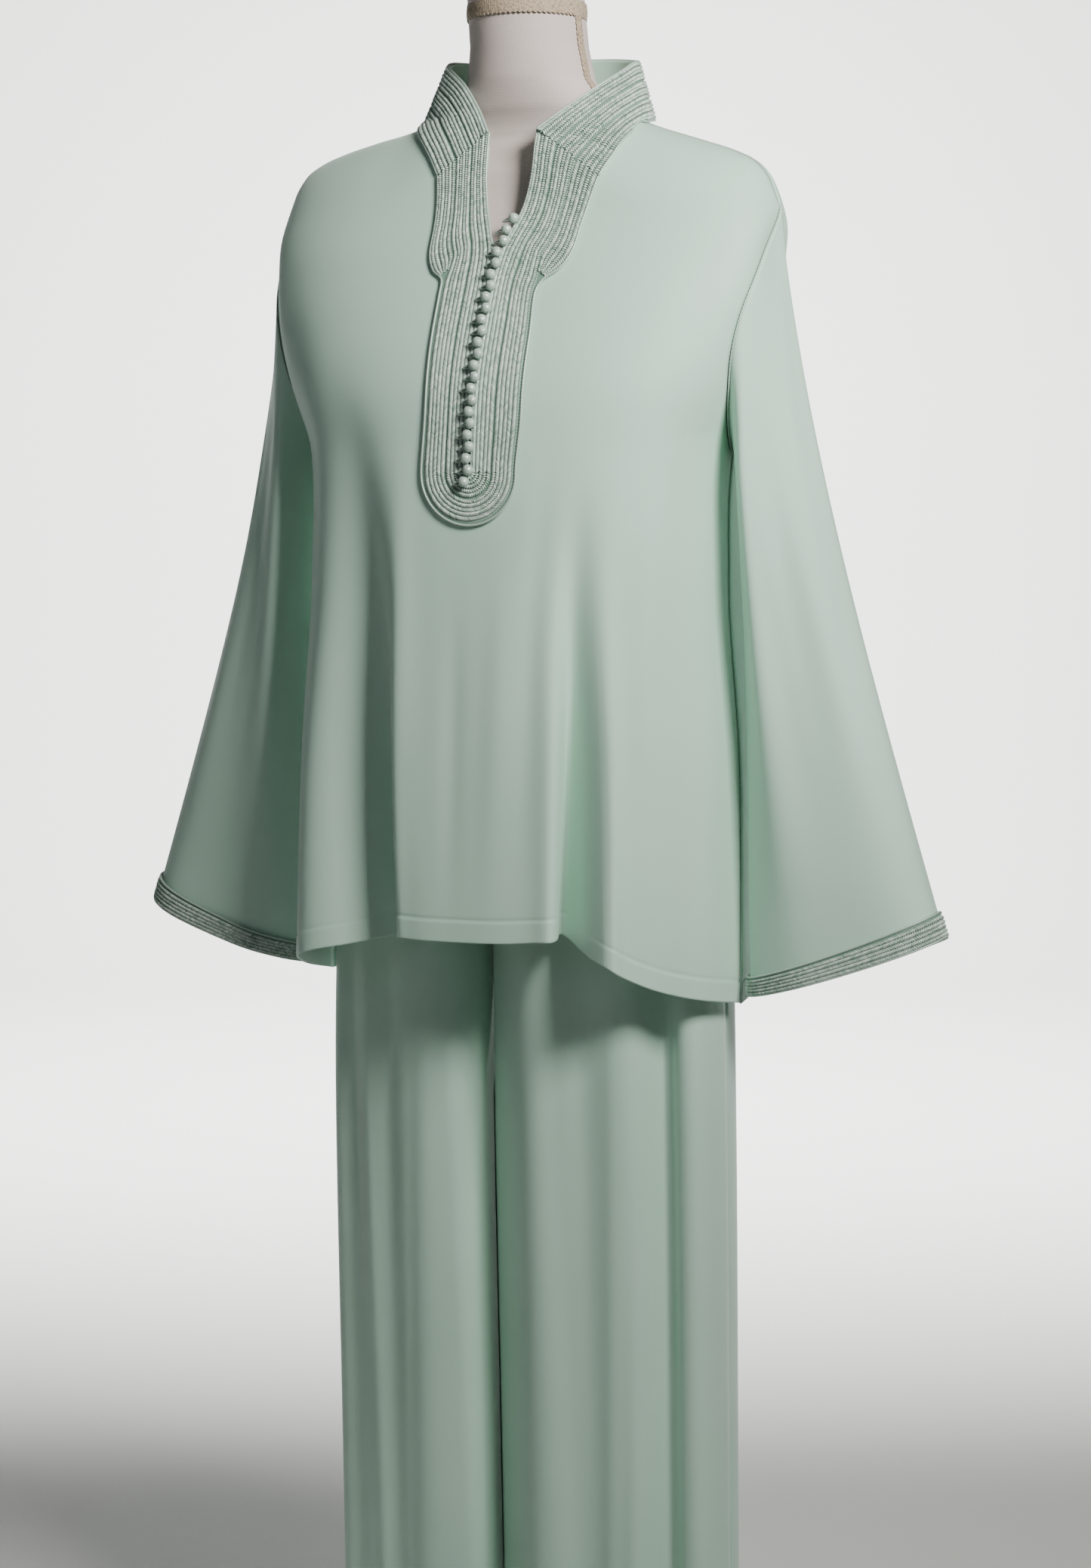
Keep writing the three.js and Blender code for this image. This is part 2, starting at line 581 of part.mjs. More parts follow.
// Dress form: half width, depths and middle of its section by height
const formRows = [
  { z: 850, half: 143, front: 70, back: 74, middle: 0, power: 2.3 },
  { z: 854, half: 148, front: 75, back: 79, middle: 0, power: 2.3 },
  { z: 900, half: 149, front: 80, back: 83, middle: 0, power: 2.4 },
  { z: 960, half: 129, front: 82, back: 81, middle: 0, power: 2.6 },
  { z: 1000, half: 118.2, front: 84, back: 80.2, middle: 0, power: 2.7 },
  { z: 1034, half: 117.2, front: 84, back: 79.2, middle: 0, power: 2.7 },
  { z: 1120, half: 124, front: 90, back: 80, middle: 0, power: 2.3 },
  { z: 1220, half: 146, front: 98, back: 84, middle: 0, power: 2.2 },
  { z: 1290, half: 164, front: 84, back: 76, middle: 2, power: 2.2 },
  { z: 1340, half: 186, front: 62, back: 63, middle: 5, power: 2.2 },
  { z: 1366, half: 194, front: 54, back: 56, middle: 8, power: 2.1 },
  { z: 1385, half: 191, front: 52, back: 52, middle: 10, power: 2 },
  { z: 1394, half: 180, front: 47, back: 50, middle: 10, power: 2 },
  { z: 1404, half: 153, front: 43, back: 47, middle: 10, power: 2 },
  { z: 1414, half: 115, front: 37, back: 45, middle: 10, power: 2 },
  { z: 1424, half: 88, front: 37, back: 45, middle: 9, power: 2 },
  { z: 1438, half: 73, front: 42, back: 49, middle: 8, power: 2 },
  { z: 1462, half: 55, front: 47, back: 51, middle: 4, power: 2 },
  { z: 1490, half: 50, front: 48, back: 50, middle: 0, power: 2 },
  { z: 1540, half: 49, front: 47, back: 49, middle: -9, power: 2 },
];
const neckTop = 1540;

function form() {
  const columns = 28;
  const points = [0, 0, formRows[0].z];
  for (const row of formRows) {
    for (let i = 0; i < columns; i += 1) {
      const turn = (2 * Math.PI * i) / columns;
      const c = Math.cos(turn);
      const s = Math.sin(turn);
      const depth = s < 0 ? row.front : row.back;
      const oblique = (Math.abs(c) / row.half) ** row.power + (Math.abs(s) / depth) ** row.power;
      const reach = oblique ** (-1 / row.power);
      points.push(c * reach, row.middle + s * reach, row.z);
    }
  }
  points.push(0, formRows[formRows.length - 1].middle, neckTop);
  const last = points.length / 3 - 1;
  const faces = [];
  for (let i = 0; i < columns; i += 1) {
    const next = (i + 1) % columns;
    faces.push(0, 1 + next, 1 + i);
    for (let j = 0; j < formRows.length - 1; j += 1) {
      const low = 1 + j * columns;
      const high = low + columns;
      faces.push(low + i, low + next, high + next, low + i, high + next, high + i);
    }
    faces.push(last, last - columns + i, last - columns + next);
  }
  const geometry = new THREE.BufferGeometry();
  geometry.setAttribute('position', new THREE.Float32BufferAttribute(points, 3));
  geometry.setIndex(faces);
  return geometry;
}

// A solid of revolution about the vertical, from radii and heights.
function turned(profile, segments) {
  const geometry = new THREE.LatheGeometry(profile.map(([r, z]) => new THREE.Vector2(r, z)), segments);
  geometry.rotateX(rad(90));
  return geometry;
}

const group = new THREE.Group();
group.name = 'jabador';

function add(name, geometry, finish) {
  geometry.deleteAttribute('normal');
  geometry.deleteAttribute('uv');
  geometry.computeVertexNormals();
  const mesh = new THREE.Mesh(geometry, new THREE.MeshStandardMaterial(finish));
  mesh.name = name;
  group.add(mesh);
}

const satin = { color: 0xb9dcca, roughness: 0.5, metalness: 0 };
const braid = { color: 0x9fb3a6, roughness: 0.35, metalness: 0.3 };
const jersey = { color: 0xc3b6b1, roughness: 0.85, metalness: 0 };
const steel = { color: 0xb4b6b8, roughness: 0.3, metalness: 1 };

add('tunic_front', wall([frontHalf(-1), frontHalf(1)], 0, -clothWall), satin);
add('tunic_back', wall([backPanel()], 0, -clothWall), satin);
for (const [side, word] of [[-1, 'right'], [1, 'left']]) {
  add(`sleeve_${word}`, wall([sleeve(side)], 0, -clothWall), satin);
  const cuffFace = (t, v) => 0.6 + braidWall + ribs([0, 1], v);
  add(`cuff_${word}`, wall([cuff(side)], cuffFace, 0.6), braid);
  add(`trouser_front_${word}`, wall([leg(side, -1)], 0, -clothWall), satin);
  add(`trouser_back_${word}`, wall([leg(side, 1)], 0, -clothWall), satin);
}
add('waistband', wall([waistband()], 0, -2.5), satin);
const bandBase = 0.9;
// A group's height at a column, 0 at its ends
const bandFace = (u) => bandBase + braidWall + ribs(groupEnds, u);
add('placket', wall([placket()], bandFace, bandBase), braid);
add('collar', wall([collar()], bandFace, bandBase), braid);

// Knotted ball buttons down the edge of the left half of the band
const buttons = { count: 24, radius: 4.4, top: 1342, bottom: 1127 };
for (let i = 0; i < buttons.count; i += 1) {
  const z = mix(buttons.top, buttons.bottom, i / (buttons.count - 1));
  const x = slitShift + 0.6 * read(slitRows, 'z', 'half', z) + mix(0, 3, ease((z - 1120) / 120)) - 1;
  const ball = new THREE.SphereGeometry(buttons.radius, 7, 5);
  ball.rotateX(rad(90));
  const rib = ribHeight * ease((z - 1130) / 130);
  const lift = 0.45 + 0.2 * ease((1138 - z) / 8) - 0.6 * ease((z - 1334) / 6);
  const standOff = bandBase + braidWall + rib + lift;
  ball.translate(x, trunkY(-1, x, z) - standOff - buttons.radius, z);
  add(`button_${String(i + 1).padStart(2, '0')}`, ball, braid);
}

add('form_torso', form(), jersey);
const baseRadius = 170;
const baseHeight = 12;
const poleRadius = 12.5;
const basePlate = [[0, 0], [baseRadius, 0], [baseRadius, 8], [baseRadius - 4, baseHeight], [0, baseHeight]];
add('stand_base', turned(basePlate, 40), steel);
const poleLow = baseHeight + seamGap;
const poleHigh = formBottom - seamGap;
const pole = [[0, poleLow], [poleRadius, poleLow], [poleRadius, poleHigh], [0, poleHigh]];
add('stand_pole', turned(pole, 20), steel);

export default group;
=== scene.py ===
import bpy
import numpy as np
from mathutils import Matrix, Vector


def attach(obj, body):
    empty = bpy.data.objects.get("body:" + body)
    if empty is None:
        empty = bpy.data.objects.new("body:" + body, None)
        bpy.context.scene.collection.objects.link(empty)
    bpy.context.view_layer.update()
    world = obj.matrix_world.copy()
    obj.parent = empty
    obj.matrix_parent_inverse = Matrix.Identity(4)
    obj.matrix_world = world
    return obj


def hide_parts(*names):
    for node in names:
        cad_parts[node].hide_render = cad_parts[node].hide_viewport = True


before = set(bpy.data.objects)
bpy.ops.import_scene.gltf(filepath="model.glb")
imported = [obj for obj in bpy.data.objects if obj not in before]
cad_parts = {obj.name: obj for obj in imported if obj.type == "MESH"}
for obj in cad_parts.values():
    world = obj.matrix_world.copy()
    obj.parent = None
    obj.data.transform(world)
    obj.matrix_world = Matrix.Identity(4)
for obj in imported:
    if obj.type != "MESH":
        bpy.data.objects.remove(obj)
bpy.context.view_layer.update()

# ---- Dress form -------------------------------------------------------------------------------------------
# A padded torso without limbs, sewn from fine canvas over foam, that carries the whole garment. Its neck shows
# in the collar. A crochet edging is glued round the neck's top and down both sides of the neck.
form_sections = {
    "z": [850, 854, 900, 960, 1000, 1034, 1120, 1220, 1290, 1340, 1366, 1385, 1394, 1404, 1414, 1424, 1438,
          1462, 1490, 1540],
    "half": [143, 148, 149, 129, 118.2, 117.2, 124, 146, 164, 186, 194, 191, 180, 153, 115, 88, 73, 55, 50, 49],
    "front": [70, 75, 80, 82, 84, 84, 90, 98, 84, 62, 54, 52, 47, 43, 37, 37, 42, 47, 48, 47],
    "back": [74, 79, 83, 81, 80.2, 79.2, 80, 84, 76, 63, 56, 52, 50, 47, 45, 45, 49, 51, 50, 49],
    "middle": [0, 0, 0, 0, 0, 0, 0, 0, 2, 5, 8, 10, 10, 10, 10, 9, 8, 4, 0, -9],
    "power": [2.3, 2.3, 2.4, 2.6, 2.7, 2.7, 2.3, 2.2, 2.2, 2.2, 2.1, 2, 2, 2, 2, 2, 2, 2, 2, 2],
}
form_ends = {"bottom": 850.0, "top": 1540.0, "top_middle": -9, "inset": 1.6}
neck_edging = {"low": 1442, "high": 1512, "side_width": 8.5, "top_z": 1518, "top_width": 12.0, "picot": 4.2}


def linear(colour):
    """A hex colour as the linear values a shader takes: up to 0.04045 divided by 12.92, above it the 2.4 curve."""
    share = np.array([int(colour[k : k + 2], 16) for k in (1, 3, 5)]) / 255
    return (*np.where(share <= 0.04045, share / 12.92, ((share + 0.055) / 1.055) ** 2.4), 1.0)


def add_node(material, kind, settings=(), links=()):
    """Adds one shader node. Its settings are properties or inputs by name, its links inputs fed by (node, output)."""
    node = material.node_tree.nodes.new(kind)
    for name, value in dict(settings).items():
        if hasattr(node, str(name)):
            setattr(node, name, value)
        else:
            node.inputs[name].default_value = value
    for name, (other, output) in dict(links).items():
        material.node_tree.links.new(other.outputs[output], node.inputs[name])
    return node


def empty_material(name):
    """A named material with a cleared node tree."""
    material = bpy.data.materials.new(name)
    material.use_nodes = True
    material.node_tree.nodes.clear()
    return material


def ramp(material, share, low, high, low_at=0.0, high_at=1.0):
    """Two dyes and all between them, by a node's (node, output) from 0 to 1."""
    node = add_node(material, "ShaderNodeValToRGB", {}, {"Fac": share})
    for element, colour, position in zip(node.color_ramp.elements, (low, high), (low_at, high_at)):
        element.position = position
        element.color = linear(colour)
    return node, "Color"


def noise(material, scale, detail=2.0, place=None):
    """Soft random spots in the piece's own space, or at another (node, output), from 0 to 1."""
    place = place or (add_node(material, "ShaderNodeTexCoord"), "Object")
    return add_node(material, "ShaderNodeTexNoise", {"Scale": scale, "Detail": detail}, {"Vector": place}), "Fac"


def finish(material, height, strength, distance, settings, links, sunk=False):
    """The surface's own shader, with its relief as bump, joined to the material's output."""
    depth = {"Strength": strength, "Distance": distance, "invert": sunk}
    links["Normal"] = (add_node(material, "ShaderNodeBump", depth, {"Height": height}), "Normal")
    skin = add_node(material, "ShaderNodeBsdfPrincipled", settings, links)
    add_node(material, "ShaderNodeOutputMaterial", {}, {"Surface": (skin, "BSDF")})


def unit(vectors):
    """Vectors of length 1 along the last axis."""
    return vectors / np.maximum(np.linalg.norm(vectors, axis=-1, keepdims=True), 1e-9)


def run_along(line):
    """Length of a line of points up to each of them."""
    return np.concatenate([[0], np.cumsum(np.linalg.norm(np.diff(line, axis=0), axis=1))])


def mix(a, b, t):
    """Straight line from a to b."""
    return a + (b - a) * t


def ease(t):
    """Smooth step from 0 to 1 as t goes from 0 to 1: 3 t squared less 2 t cubed."""
    t = np.clip(t, 0, 1)
    return t * t * (3 - 2 * t)


def hump(t):
    """A soft bump of height 1: e to the minus t squared."""
    return np.exp(-np.square(t))


def read(table, along, column, at):
    """Smooth curve through one column of a table: cubic pieces whose slope at a row is the mean of the slopes
    on its two sides, or level where those differ in sign."""
    x, y = np.array(table[along], float), np.array(table[column], float)
    slope = np.diff(y) / np.diff(x)
    turns = np.where(slope[:-1] * slope[1:] > 0, (slope[:-1] + slope[1:]) / 2, 0)
    tangent = np.concatenate([slope[:1], turns, slope[-1:]])
    at = np.clip(at, x[0], x[-1])
    i = np.clip(np.searchsorted(x, at) - 1, 0, len(x) - 2)
    step = x[i + 1] - x[i]
    t = (at - x[i]) / step
    between = mix(y[i], y[i + 1], 3 * t**2 - 2 * t**3)
    return between + (t**3 - 2 * t**2 + t) * step * tangent[i] + (t**3 - t**2) * step * tangent[i + 1]


def stack(x, y, z):
    """Three arrays as one array of points."""
    return np.stack(np.broadcast_arrays(x, y, z), -1).astype(float)


def outward(points, facing=1):
    """Unit normals of a grid of points: the step along a row crossed with the step down a column. Where the
    first and last columns meet, both take the same one."""
    if np.allclose(points[:, 0], points[:, -1], atol=1e-4):
        wide = np.concatenate([points[:, -2:-1], points, points[:, 1:2]], 1)
        across = np.gradient(wide, axis=1)[:, 1:-1]
    else:
        across = np.gradient(points, axis=1)
    return unit(np.cross(across, np.gradient(points, axis=0)) * facing)


def add_piece(name, points, faces, material, uv=None, tone=None):
    """A smooth-shaded mesh from points in mm and lists of faces, placed by its own mesh, on the one body."""
    mesh = bpy.data.meshes.new(name)
    mesh.from_pydata([], [], [])
    mesh.vertices.add(len(points))
    mesh.vertices.foreach_set("co", (np.asarray(points, np.float32) / 1000).ravel())
    sizes = np.concatenate([np.full(len(part), part.shape[1]) for part in faces])
    corners = np.concatenate([part.ravel() for part in faces])
    mesh.loops.add(len(corners))
    mesh.loops.foreach_set("vertex_index", corners.astype(np.int32))
    mesh.polygons.add(len(sizes))
    mesh.polygons.foreach_set("loop_start", (np.cumsum(sizes) - sizes).astype(np.int32))
    mesh.update(calc_edges=True)
    if uv is not None:
        flat = np.concatenate([part.reshape(-1, 2) for part in uv]) / 1000
        mesh.uv_layers.new(name="cloth").data.foreach_set("uv", flat.astype(np.float32).ravel())
    if tone is not None:
        mesh.attributes.new("tone", "FLOAT", "POINT").data.foreach_set("value", tone.astype(np.float32))
    mesh.validate()
    mesh.polygons.foreach_set("use_smooth", np.ones(len(mesh.polygons), bool))
    mesh.materials.append(material)
    piece = bpy.data.objects.new(name, mesh)
    bpy.context.scene.collection.objects.link(piece)
    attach(piece, "root")
    return piece


def grid_faces(rows, columns, facing=1):
    """Four-cornered faces of a grid of rows by columns of points, turned by facing."""
    ids = np.arange(rows * columns).reshape(rows, columns)
    faces = np.stack([ids[:-1, :-1], ids[:-1, 1:], ids[1:, 1:], ids[1:, :-1]], -1).reshape(-1, 4)
    return faces if facing > 0 else faces[:, ::-1]


def surface(name, patches, material, thick=0.0, tone=None):
    """A piece from grids of points, each with its facing. Points closer than a micron become one, so that edges
    that meet are joined. The UV map holds the mm run along the middle row and column. thick adds a wall inwards."""
    places, faces, maps, count = [], [], [], 0
    for points, facing in patches:
        rows, columns = points.shape[:2]
        quads = grid_faces(rows, columns, facing)
        runs = run_along(points[rows // 2]), run_along(points[:, columns // 2])
        uv = np.stack(np.meshgrid(*runs), -1).reshape(-1, 2)
        places.append(points.reshape(-1, 3))
        faces.append(quads + count)
        maps.append(uv[quads])
        count += rows * columns
    places, faces, maps = np.concatenate(places), np.concatenate(faces), np.concatenate(maps)
    _, first, joined = np.unique(np.round(places, 3), axis=0, return_index=True, return_inverse=True)
    faces = joined.reshape(-1)[faces]
    # A face with two corners in one point, as round a pole, is a triangle
    same = np.array([faces[:, k] == faces[:, (k + 1) % 4] for k in range(4)])
    parts, part_maps = [faces[same.sum(0) == 0]], [maps[same.sum(0) == 0]]
    for k in range(4):
        some = same[k] & (same.sum(0) == 1)
        kept = [j for j in range(4) if j != k]
        parts.append(faces[some][:, kept])
        part_maps.append(maps[some][:, kept])
    piece = add_piece(
        name, places[first], [x for x in parts if len(x)], material, [x for x in part_maps if len(x)],
        None if tone is None else np.full(len(first), tone),
    )
    if thick:
        wall = piece.modifiers.new("thickness", "SOLIDIFY")
        wall.thickness = thick / 1000
        wall.offset = -1
    return piece


# Cotton canvas, undyed and slightly pink: plain weave with 0.5 mm threads, drawn at 1 mm so that it shows.
# It scatters light evenly and has a faint nap.
canvas = empty_material("undyed cotton canvas, plain weave")
place = add_node(canvas, "ShaderNodeTexCoord")
warp, weft = (
    add_node(
        canvas, "ShaderNodeTexWave", {"bands_direction": way, "Scale": 160.0, "Distortion": 1.2, "Detail": 1.0},
        {"Vector": (place, "Object")},
    )
    for way in "XZ"
)
weave = add_node(canvas, "ShaderNodeMath", {"operation": "MULTIPLY"}, {0: (warp, "Fac"), 1: (weft, "Fac")})
finish(
    canvas, (weave, "Value"), 0.35, 0.0003, {"Roughness": 0.85, "Sheen Weight": 0.15, "Specular IOR Level": 0.3},
    {"Base Color": ramp(canvas, noise(canvas, 14.0, 3.0), "#CBBDB9", "#DACFCB")},
)


def form_ring(z, turn, out=0.0):
    """A point of the form: an oblique oval of the section at z. Under the clothes it lies further in."""
    at = lambda column: np.interp(z, form_sections["z"], form_sections[column])
    c, s = np.cos(turn), np.sin(turn)
    inset = out - form_ends["inset"] * ease((1440 - z) / 10)
    half = at("half") + inset
    depth = np.where(s < 0, at("front"), at("back")) + inset
    power = at("power")
    reach = ((np.abs(c) / half) ** power + (np.abs(s) / depth) ** power) ** (-1 / power)
    return stack(c * reach, at("middle") + s * reach, z)


form_rows = np.concatenate([np.linspace(850.5, 1380, 60), np.linspace(1384, 1538.5, 52)])
turn, height = np.meshgrid(np.linspace(0, 2 * np.pi, 129), form_rows)
torso = form_ring(height, turn)
# The top and bottom are flat, with a small rounded edge, and close to a point in the middle
top_point = np.array([0, form_ends["top_middle"], form_ends["top"]])
bottom_point = np.array([0, 0, form_ends["bottom"]])
top, bottom = torso[-1:] * [1, 1, 0] + [0, 0, form_ends["top"]], torso[:1] * [1, 1, 0] + [0, 0, form_ends["bottom"]]
rounded = mix(top_point, torso[-1:] + [0, 0, 0.6], 0.86)
crown = [mix(top_point, top, share) for share in (0.8, 0.4, 0.0)]
under = [mix(bottom_point, bottom, share) for share in (0.0, 0.5, 0.985)]
torso = np.concatenate([*under, torso, rounded, *crown])
form = surface("form_torso_canvas", [(torso, 1)], canvas)
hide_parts("form_torso")

# Beige crochet edging, cotton: a flat chain with picots, matt, a shade darker than the canvas
crochet = empty_material("beige cotton crochet edging")
place = add_node(crochet, "ShaderNodeTexCoord")
knots = add_node(crochet, "ShaderNodeTexVoronoi", {"Scale": 520.0}, {"Vector": (place, "Object")})
# The colour darkens from each knot's middle out to the sunk gaps between knots: painted shade in the gaps.
finish(
    crochet, (knots, "Distance"), 0.6, 0.0006, {"Roughness": 0.8, "Sheen Weight": 0.2},
    {"Base Color": ramp(crochet, (knots, "Distance"), "#C9B9A2", "#8E7C66")}, sunk=True,
)


def edging(line, side, normal, width, name):
    """A flat chain along a line: its half width swings with the picots, and its thickness is a rounded bump."""
    gone = run_along(line)[:, None] / neck_edging["picot"]
    turn = np.linspace(0, 2 * np.pi, 13)
    across = np.cos(turn) * width / 2 * (1 + 0.22 * np.abs(np.sin(np.pi * gone)))
    lift = (0.55 + 0.25 * np.sin(4 * np.pi * gone) * np.cos(turn * 2)) * np.sin(turn)
    points = line[:, None] + side[:, None] * across[..., None] + normal[:, None] * lift[..., None]
    start, end = (ring.mean(1, keepdims=True).repeat(len(turn), 1) for ring in (points[:1], points[-1:]))
    piece = surface(name, [(np.concatenate([start, points, end]), 1)], crochet)


heights = np.linspace(neck_edging["low"], neck_edging["high"], 180)
for word, side_turn in (("right", np.pi + 0.12), ("left", -0.12)):
    line = form_ring(heights, side_turn, 0.5)
    ahead = unit(form_ring(heights, side_turn + 0.02, 0.5) - line)
    out = unit(np.cross(ahead, np.gradient(line, axis=0)))
    edging(line, -ahead, out, neck_edging["side_width"], f"form_neck_edging_{word}")
turn = np.linspace(0, 2 * np.pi, 400)
line = form_ring(neck_edging["top_z"], turn, 0.6)
upward = stack(0 * turn, 0, 1)
out = np.cross(unit(np.gradient(line, axis=0)), upward)
edging(line, upward, out, neck_edging["top_width"], "form_neck_top_edging")

# ---- Stand ------------------------------------------------------------------------------------------------
# A round steel plate with a rolled edge and a straight tube up into the form, brushed and clear-lacquered.
brushed = empty_material("brushed steel, clear lacquer")
place = add_node(brushed, "ShaderNodeTexCoord")
stretch = add_node(brushed, "ShaderNodeMapping", {"Scale": (40.0, 40.0, 900.0)}, {"Vector": (place, "Object")})
lines = noise(brushed, 1.0, 4.0, (stretch, "Vector"))
gloss = add_node(brushed, "ShaderNodeMapRange", {"To Min": 0.24, "To Max": 0.4}, {"Value": lines})
finish(
    brushed, lines, 0.08, 0.0002, {"Base Color": linear("#C2C4C6"), "Metallic": 1.0},
    {"Roughness": (gloss, "Result")},
)


def turned(name, profile, node):
    """A profile of radii and heights carried round the vertical axis."""
    radius, z = np.array(profile, float).T
    turn = np.linspace(0, 2 * np.pi, 97)
    points = stack(radius[:, None] * np.cos(turn), radius[:, None] * np.sin(turn), z[:, None])
    piece = surface(name, [(points, 1)], brushed)
    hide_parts(node)


# Radii and heights: the plate is 12 mm thick, and the tube has a fine joint half way up
rim = [(166 + 4 * np.cos(a), 8 + 4 * np.sin(a)) for a in np.linspace(0, np.pi / 2, 7)]
plate = [(0, 0), (168.6, 0), (169.6, 0.4), (170, 1.4), *rim, (120, 12), (14, 12), (0, 12)]
tube = [(0, 12.3), (12.5, 12.3), (12.5, 420), (12.2, 420.6), (12.2, 421.4), (12.5, 422), (12.5, 849.7), (0, 849.7)]
turned("stand_base_plate", plate, "stand_base")
turned("stand_pole_tube", tube, "stand_pole")

# ---- Trousers ---------------------------------------------------------------------------------------------
# Straight trousers of the same mint satin crepe: front and back panels for each leg, pressed open at the
# seams, on an elastic waistband. They rest on the form's hips and hang free.
trouser_sections = {
    "z": [30, 300, 600, 772, 850, 920, 1000, 1034],
    "left": [189, 186, 182, 177, 170, 156, 122, 121],
    "right": [176, 180, 184, 179, 170, 156, 122, 121],
    "front": [62, 64, 68, 72, 83, 86, 88, 88],
    "back": [66, 68, 72, 76, 86, 90, 84, 83],
    "split": [-18, -23, -29, -30, -20, -8, 0, 0],
}
# Heights: between the first two the one torso parts into two legs; the hem's stitches; and the slants' run
legs = {"joined": 850, "crotch": 772, "stitches": 51, "run": 700}
leg_folds = {"at": [0.3, 0.52, 0.79], "width": [0.1, 0.08, 0.06], "depth": [3, -4, -8]}
# Deeper creases of single panels: which leg and face, place, width, mm and slant. The front of the wearer's right
# leg falls away to its side, and the left one folds in between the legs and at its side.
leg_creases = {
    "side": [-1, -1, 1, 1, 1, 1, 1, -1],
    "face": [-1, -1, -1, -1, -1, -1, 1, 1],
    "at": [0.95, 0.83, 0.12, 0.3, 0.77, 0.9, 0.75, 0.7],
    "width": [0.5, 0.07, 0.11, 0.12, 0.042, 0.05, 0.06, 0.07],
    "depth": [-30, 4, -26, 5, -24, 7, -7, -6],
    "slant": [0.0, 0.02, 0.0, 0.0, 0.01, 0.0, 0.03, -0.03],
}
# The front of the wearer's right leg runs flat to its inner edge: its share of depth is raised to this power
leg_inner_power = 0.35
# Finer soft waves of the front and back of a leg: place, width, depth in mm and the slant over the leg's length
leg_waves = {
    "at": [0.12, 0.4, 0.63, 0.7, 0.9],
    "width": [0.04, 0.05, 0.03, 0.025, 0.03],
    "depth": [1.2, -1.4, 1.2, -1.0, 1.2],
    "slant": [0.05, -0.06, 0.04, 0.06, -0.03],
}

# Polyester satin crepe in mint: yarns about 0.3 mm apart, drawn at 1 mm so that they show, matt crepe grain with
# a faint satin sheen. Light that bounces between the layers turns greener, as in the folds of the real cloth.
satin = empty_material("mint polyester satin crepe")
place = add_node(satin, "ShaderNodeTexCoord")
threads = add_node(
    satin, "ShaderNodeTexWave", {"bands_direction": "X", "Scale": 157.0, "Distortion": 2.0, "Detail": 2.0},
    {"Vector": (place, "UV")},
)
relief = add_node(
    satin, "ShaderNodeMath", {"operation": "MULTIPLY_ADD", 1: 0.35}, {0: (threads, "Fac"), 2: noise(satin, 1100.0)}
)
finish(
    satin, (relief, "Value"), 0.12, 0.0002,
    {"Roughness": 0.52, "Sheen Weight": 0.35, "Sheen Roughness": 0.45, "Specular IOR Level": 0.42,
     "Sheen Tint": linear("#E6F2EC")},
    {"Base Color": ramp(satin, noise(satin, 7.0), "#BFE3D1", "#C6E8D7", 0.3, 0.7)},
)


def cloth(node, patches, thick=1.3):
    """A piece of the garment, in satin crepe, in place of its solid."""
    piece = surface(f"{node}_cloth", patches, satin, thick)
    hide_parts(node)
    return piece


# The body's cross section: half width, half depth and the power of its sides, 2 for an ellipse
oval = {"width": 200, "depth": 125, "power": 2.7}


def oval_at(angle):
    """Shares of half width and depth on an oblique oval, at an angle from straight ahead."""
    s, c = np.abs(np.sin(angle)), np.abs(np.cos(angle))
    reach = ((s / oval["width"]) ** oval["power"] + (c / oval["depth"]) ** oval["power"]) ** (-1 / oval["power"])
    return np.sign(np.sin(angle)) * s * reach / oval["width"], c * reach / oval["depth"]


def folds_at(folds, u, fall=1.0):
    """Sum of soft bumps across u: depth times a hump at each fold's place."""
    total = np.zeros(np.broadcast(u, fall).shape)
    for at, width, depth in zip(folds["at"], folds["width"], folds["depth"]):
        total += depth * fall * hump((u - at) / width)
    return total


def leg_panel(side, face, u, z):
    """A leg panel: an oblique oval from the line between the legs out to the side, pushed out by its folds."""
    at = lambda column: read(trouser_sections, "z", column, z)
    split = at("split") + side * np.where(z > legs["crotch"], 0.6, 1.4)
    edge = side * at("left" if side > 0 else "right")
    opened = ease((legs["joined"] - z) / (legs["joined"] - legs["crotch"])) * 0.999
    first, _ = oval_at(-np.pi / 2 * opened)
    half = np.abs(edge - split) / (1 - first)
    across, ahead = oval_at(mix(-np.pi / 2 * opened, np.pi / 2, u))
    if (side, face) == (-1, -1):
        ahead = ahead ** np.where(u < 0.5, mix(1, leg_inner_power, ease((740 - z) / 140)), 1)
    out = folds_at(leg_folds, u, ease((900 - z) / 300))
    for own_side, own_face, start, width, deep, slant in zip(*leg_creases.values()):
        if (own_side, own_face) == (side, face):
            wanders = start + slant * (z / legs["run"] - 1)
            out = out + deep * hump((u - wanders) / width) * ease((880 - z) / 180)
    for start, width, depth, slant in zip(*leg_waves.values()):
        wanders = start + slant * ((z - 400) / 400 + 0.4 * side * face)
        out = out + depth * hump((u - wanders) / width) * ease((820 - z) / 200)
    hem = 0.3 * ease((legs["stitches"] - 1 - z) / 2) - 0.5 * hump((z - legs["stitches"]) / 1.6)
    depth = at("front" if face < 0 else "back") + out + hem
    return stack(edge - side * half * (1 - across), face * depth * ahead + (1.4 if face > 0 else 0), z)


leg_rows = np.concatenate(
    [np.linspace(999.6, legs["crotch"] + 0.4, 34), np.linspace(legs["crotch"] - 0.4, 60, 84), np.linspace(57, 30, 20)]
)
for side, word in ((-1, "right"), (1, "left")):
    for face, side_word in ((-1, "front"), (1, "back")):
        u, z = np.meshgrid(np.linspace(0, 1, 61), leg_rows)
        panel = leg_panel(side, face, u, z)
        cloth(f"trouser_{side_word}_{word}", [(panel, side * face)])


turn, height = np.meshgrid(np.linspace(0, 2 * np.pi, 241), np.linspace(1033.6, 1000.4, 12))
share, ahead = oval_at(np.arctan2(np.cos(turn), np.abs(np.sin(turn)) + 1e-12))
waist = {column: read(trouser_sections, "z", column, height) for column in ("left", "front", "back")}
depth = np.where(np.sin(turn) > 0, -waist["front"], waist["back"])
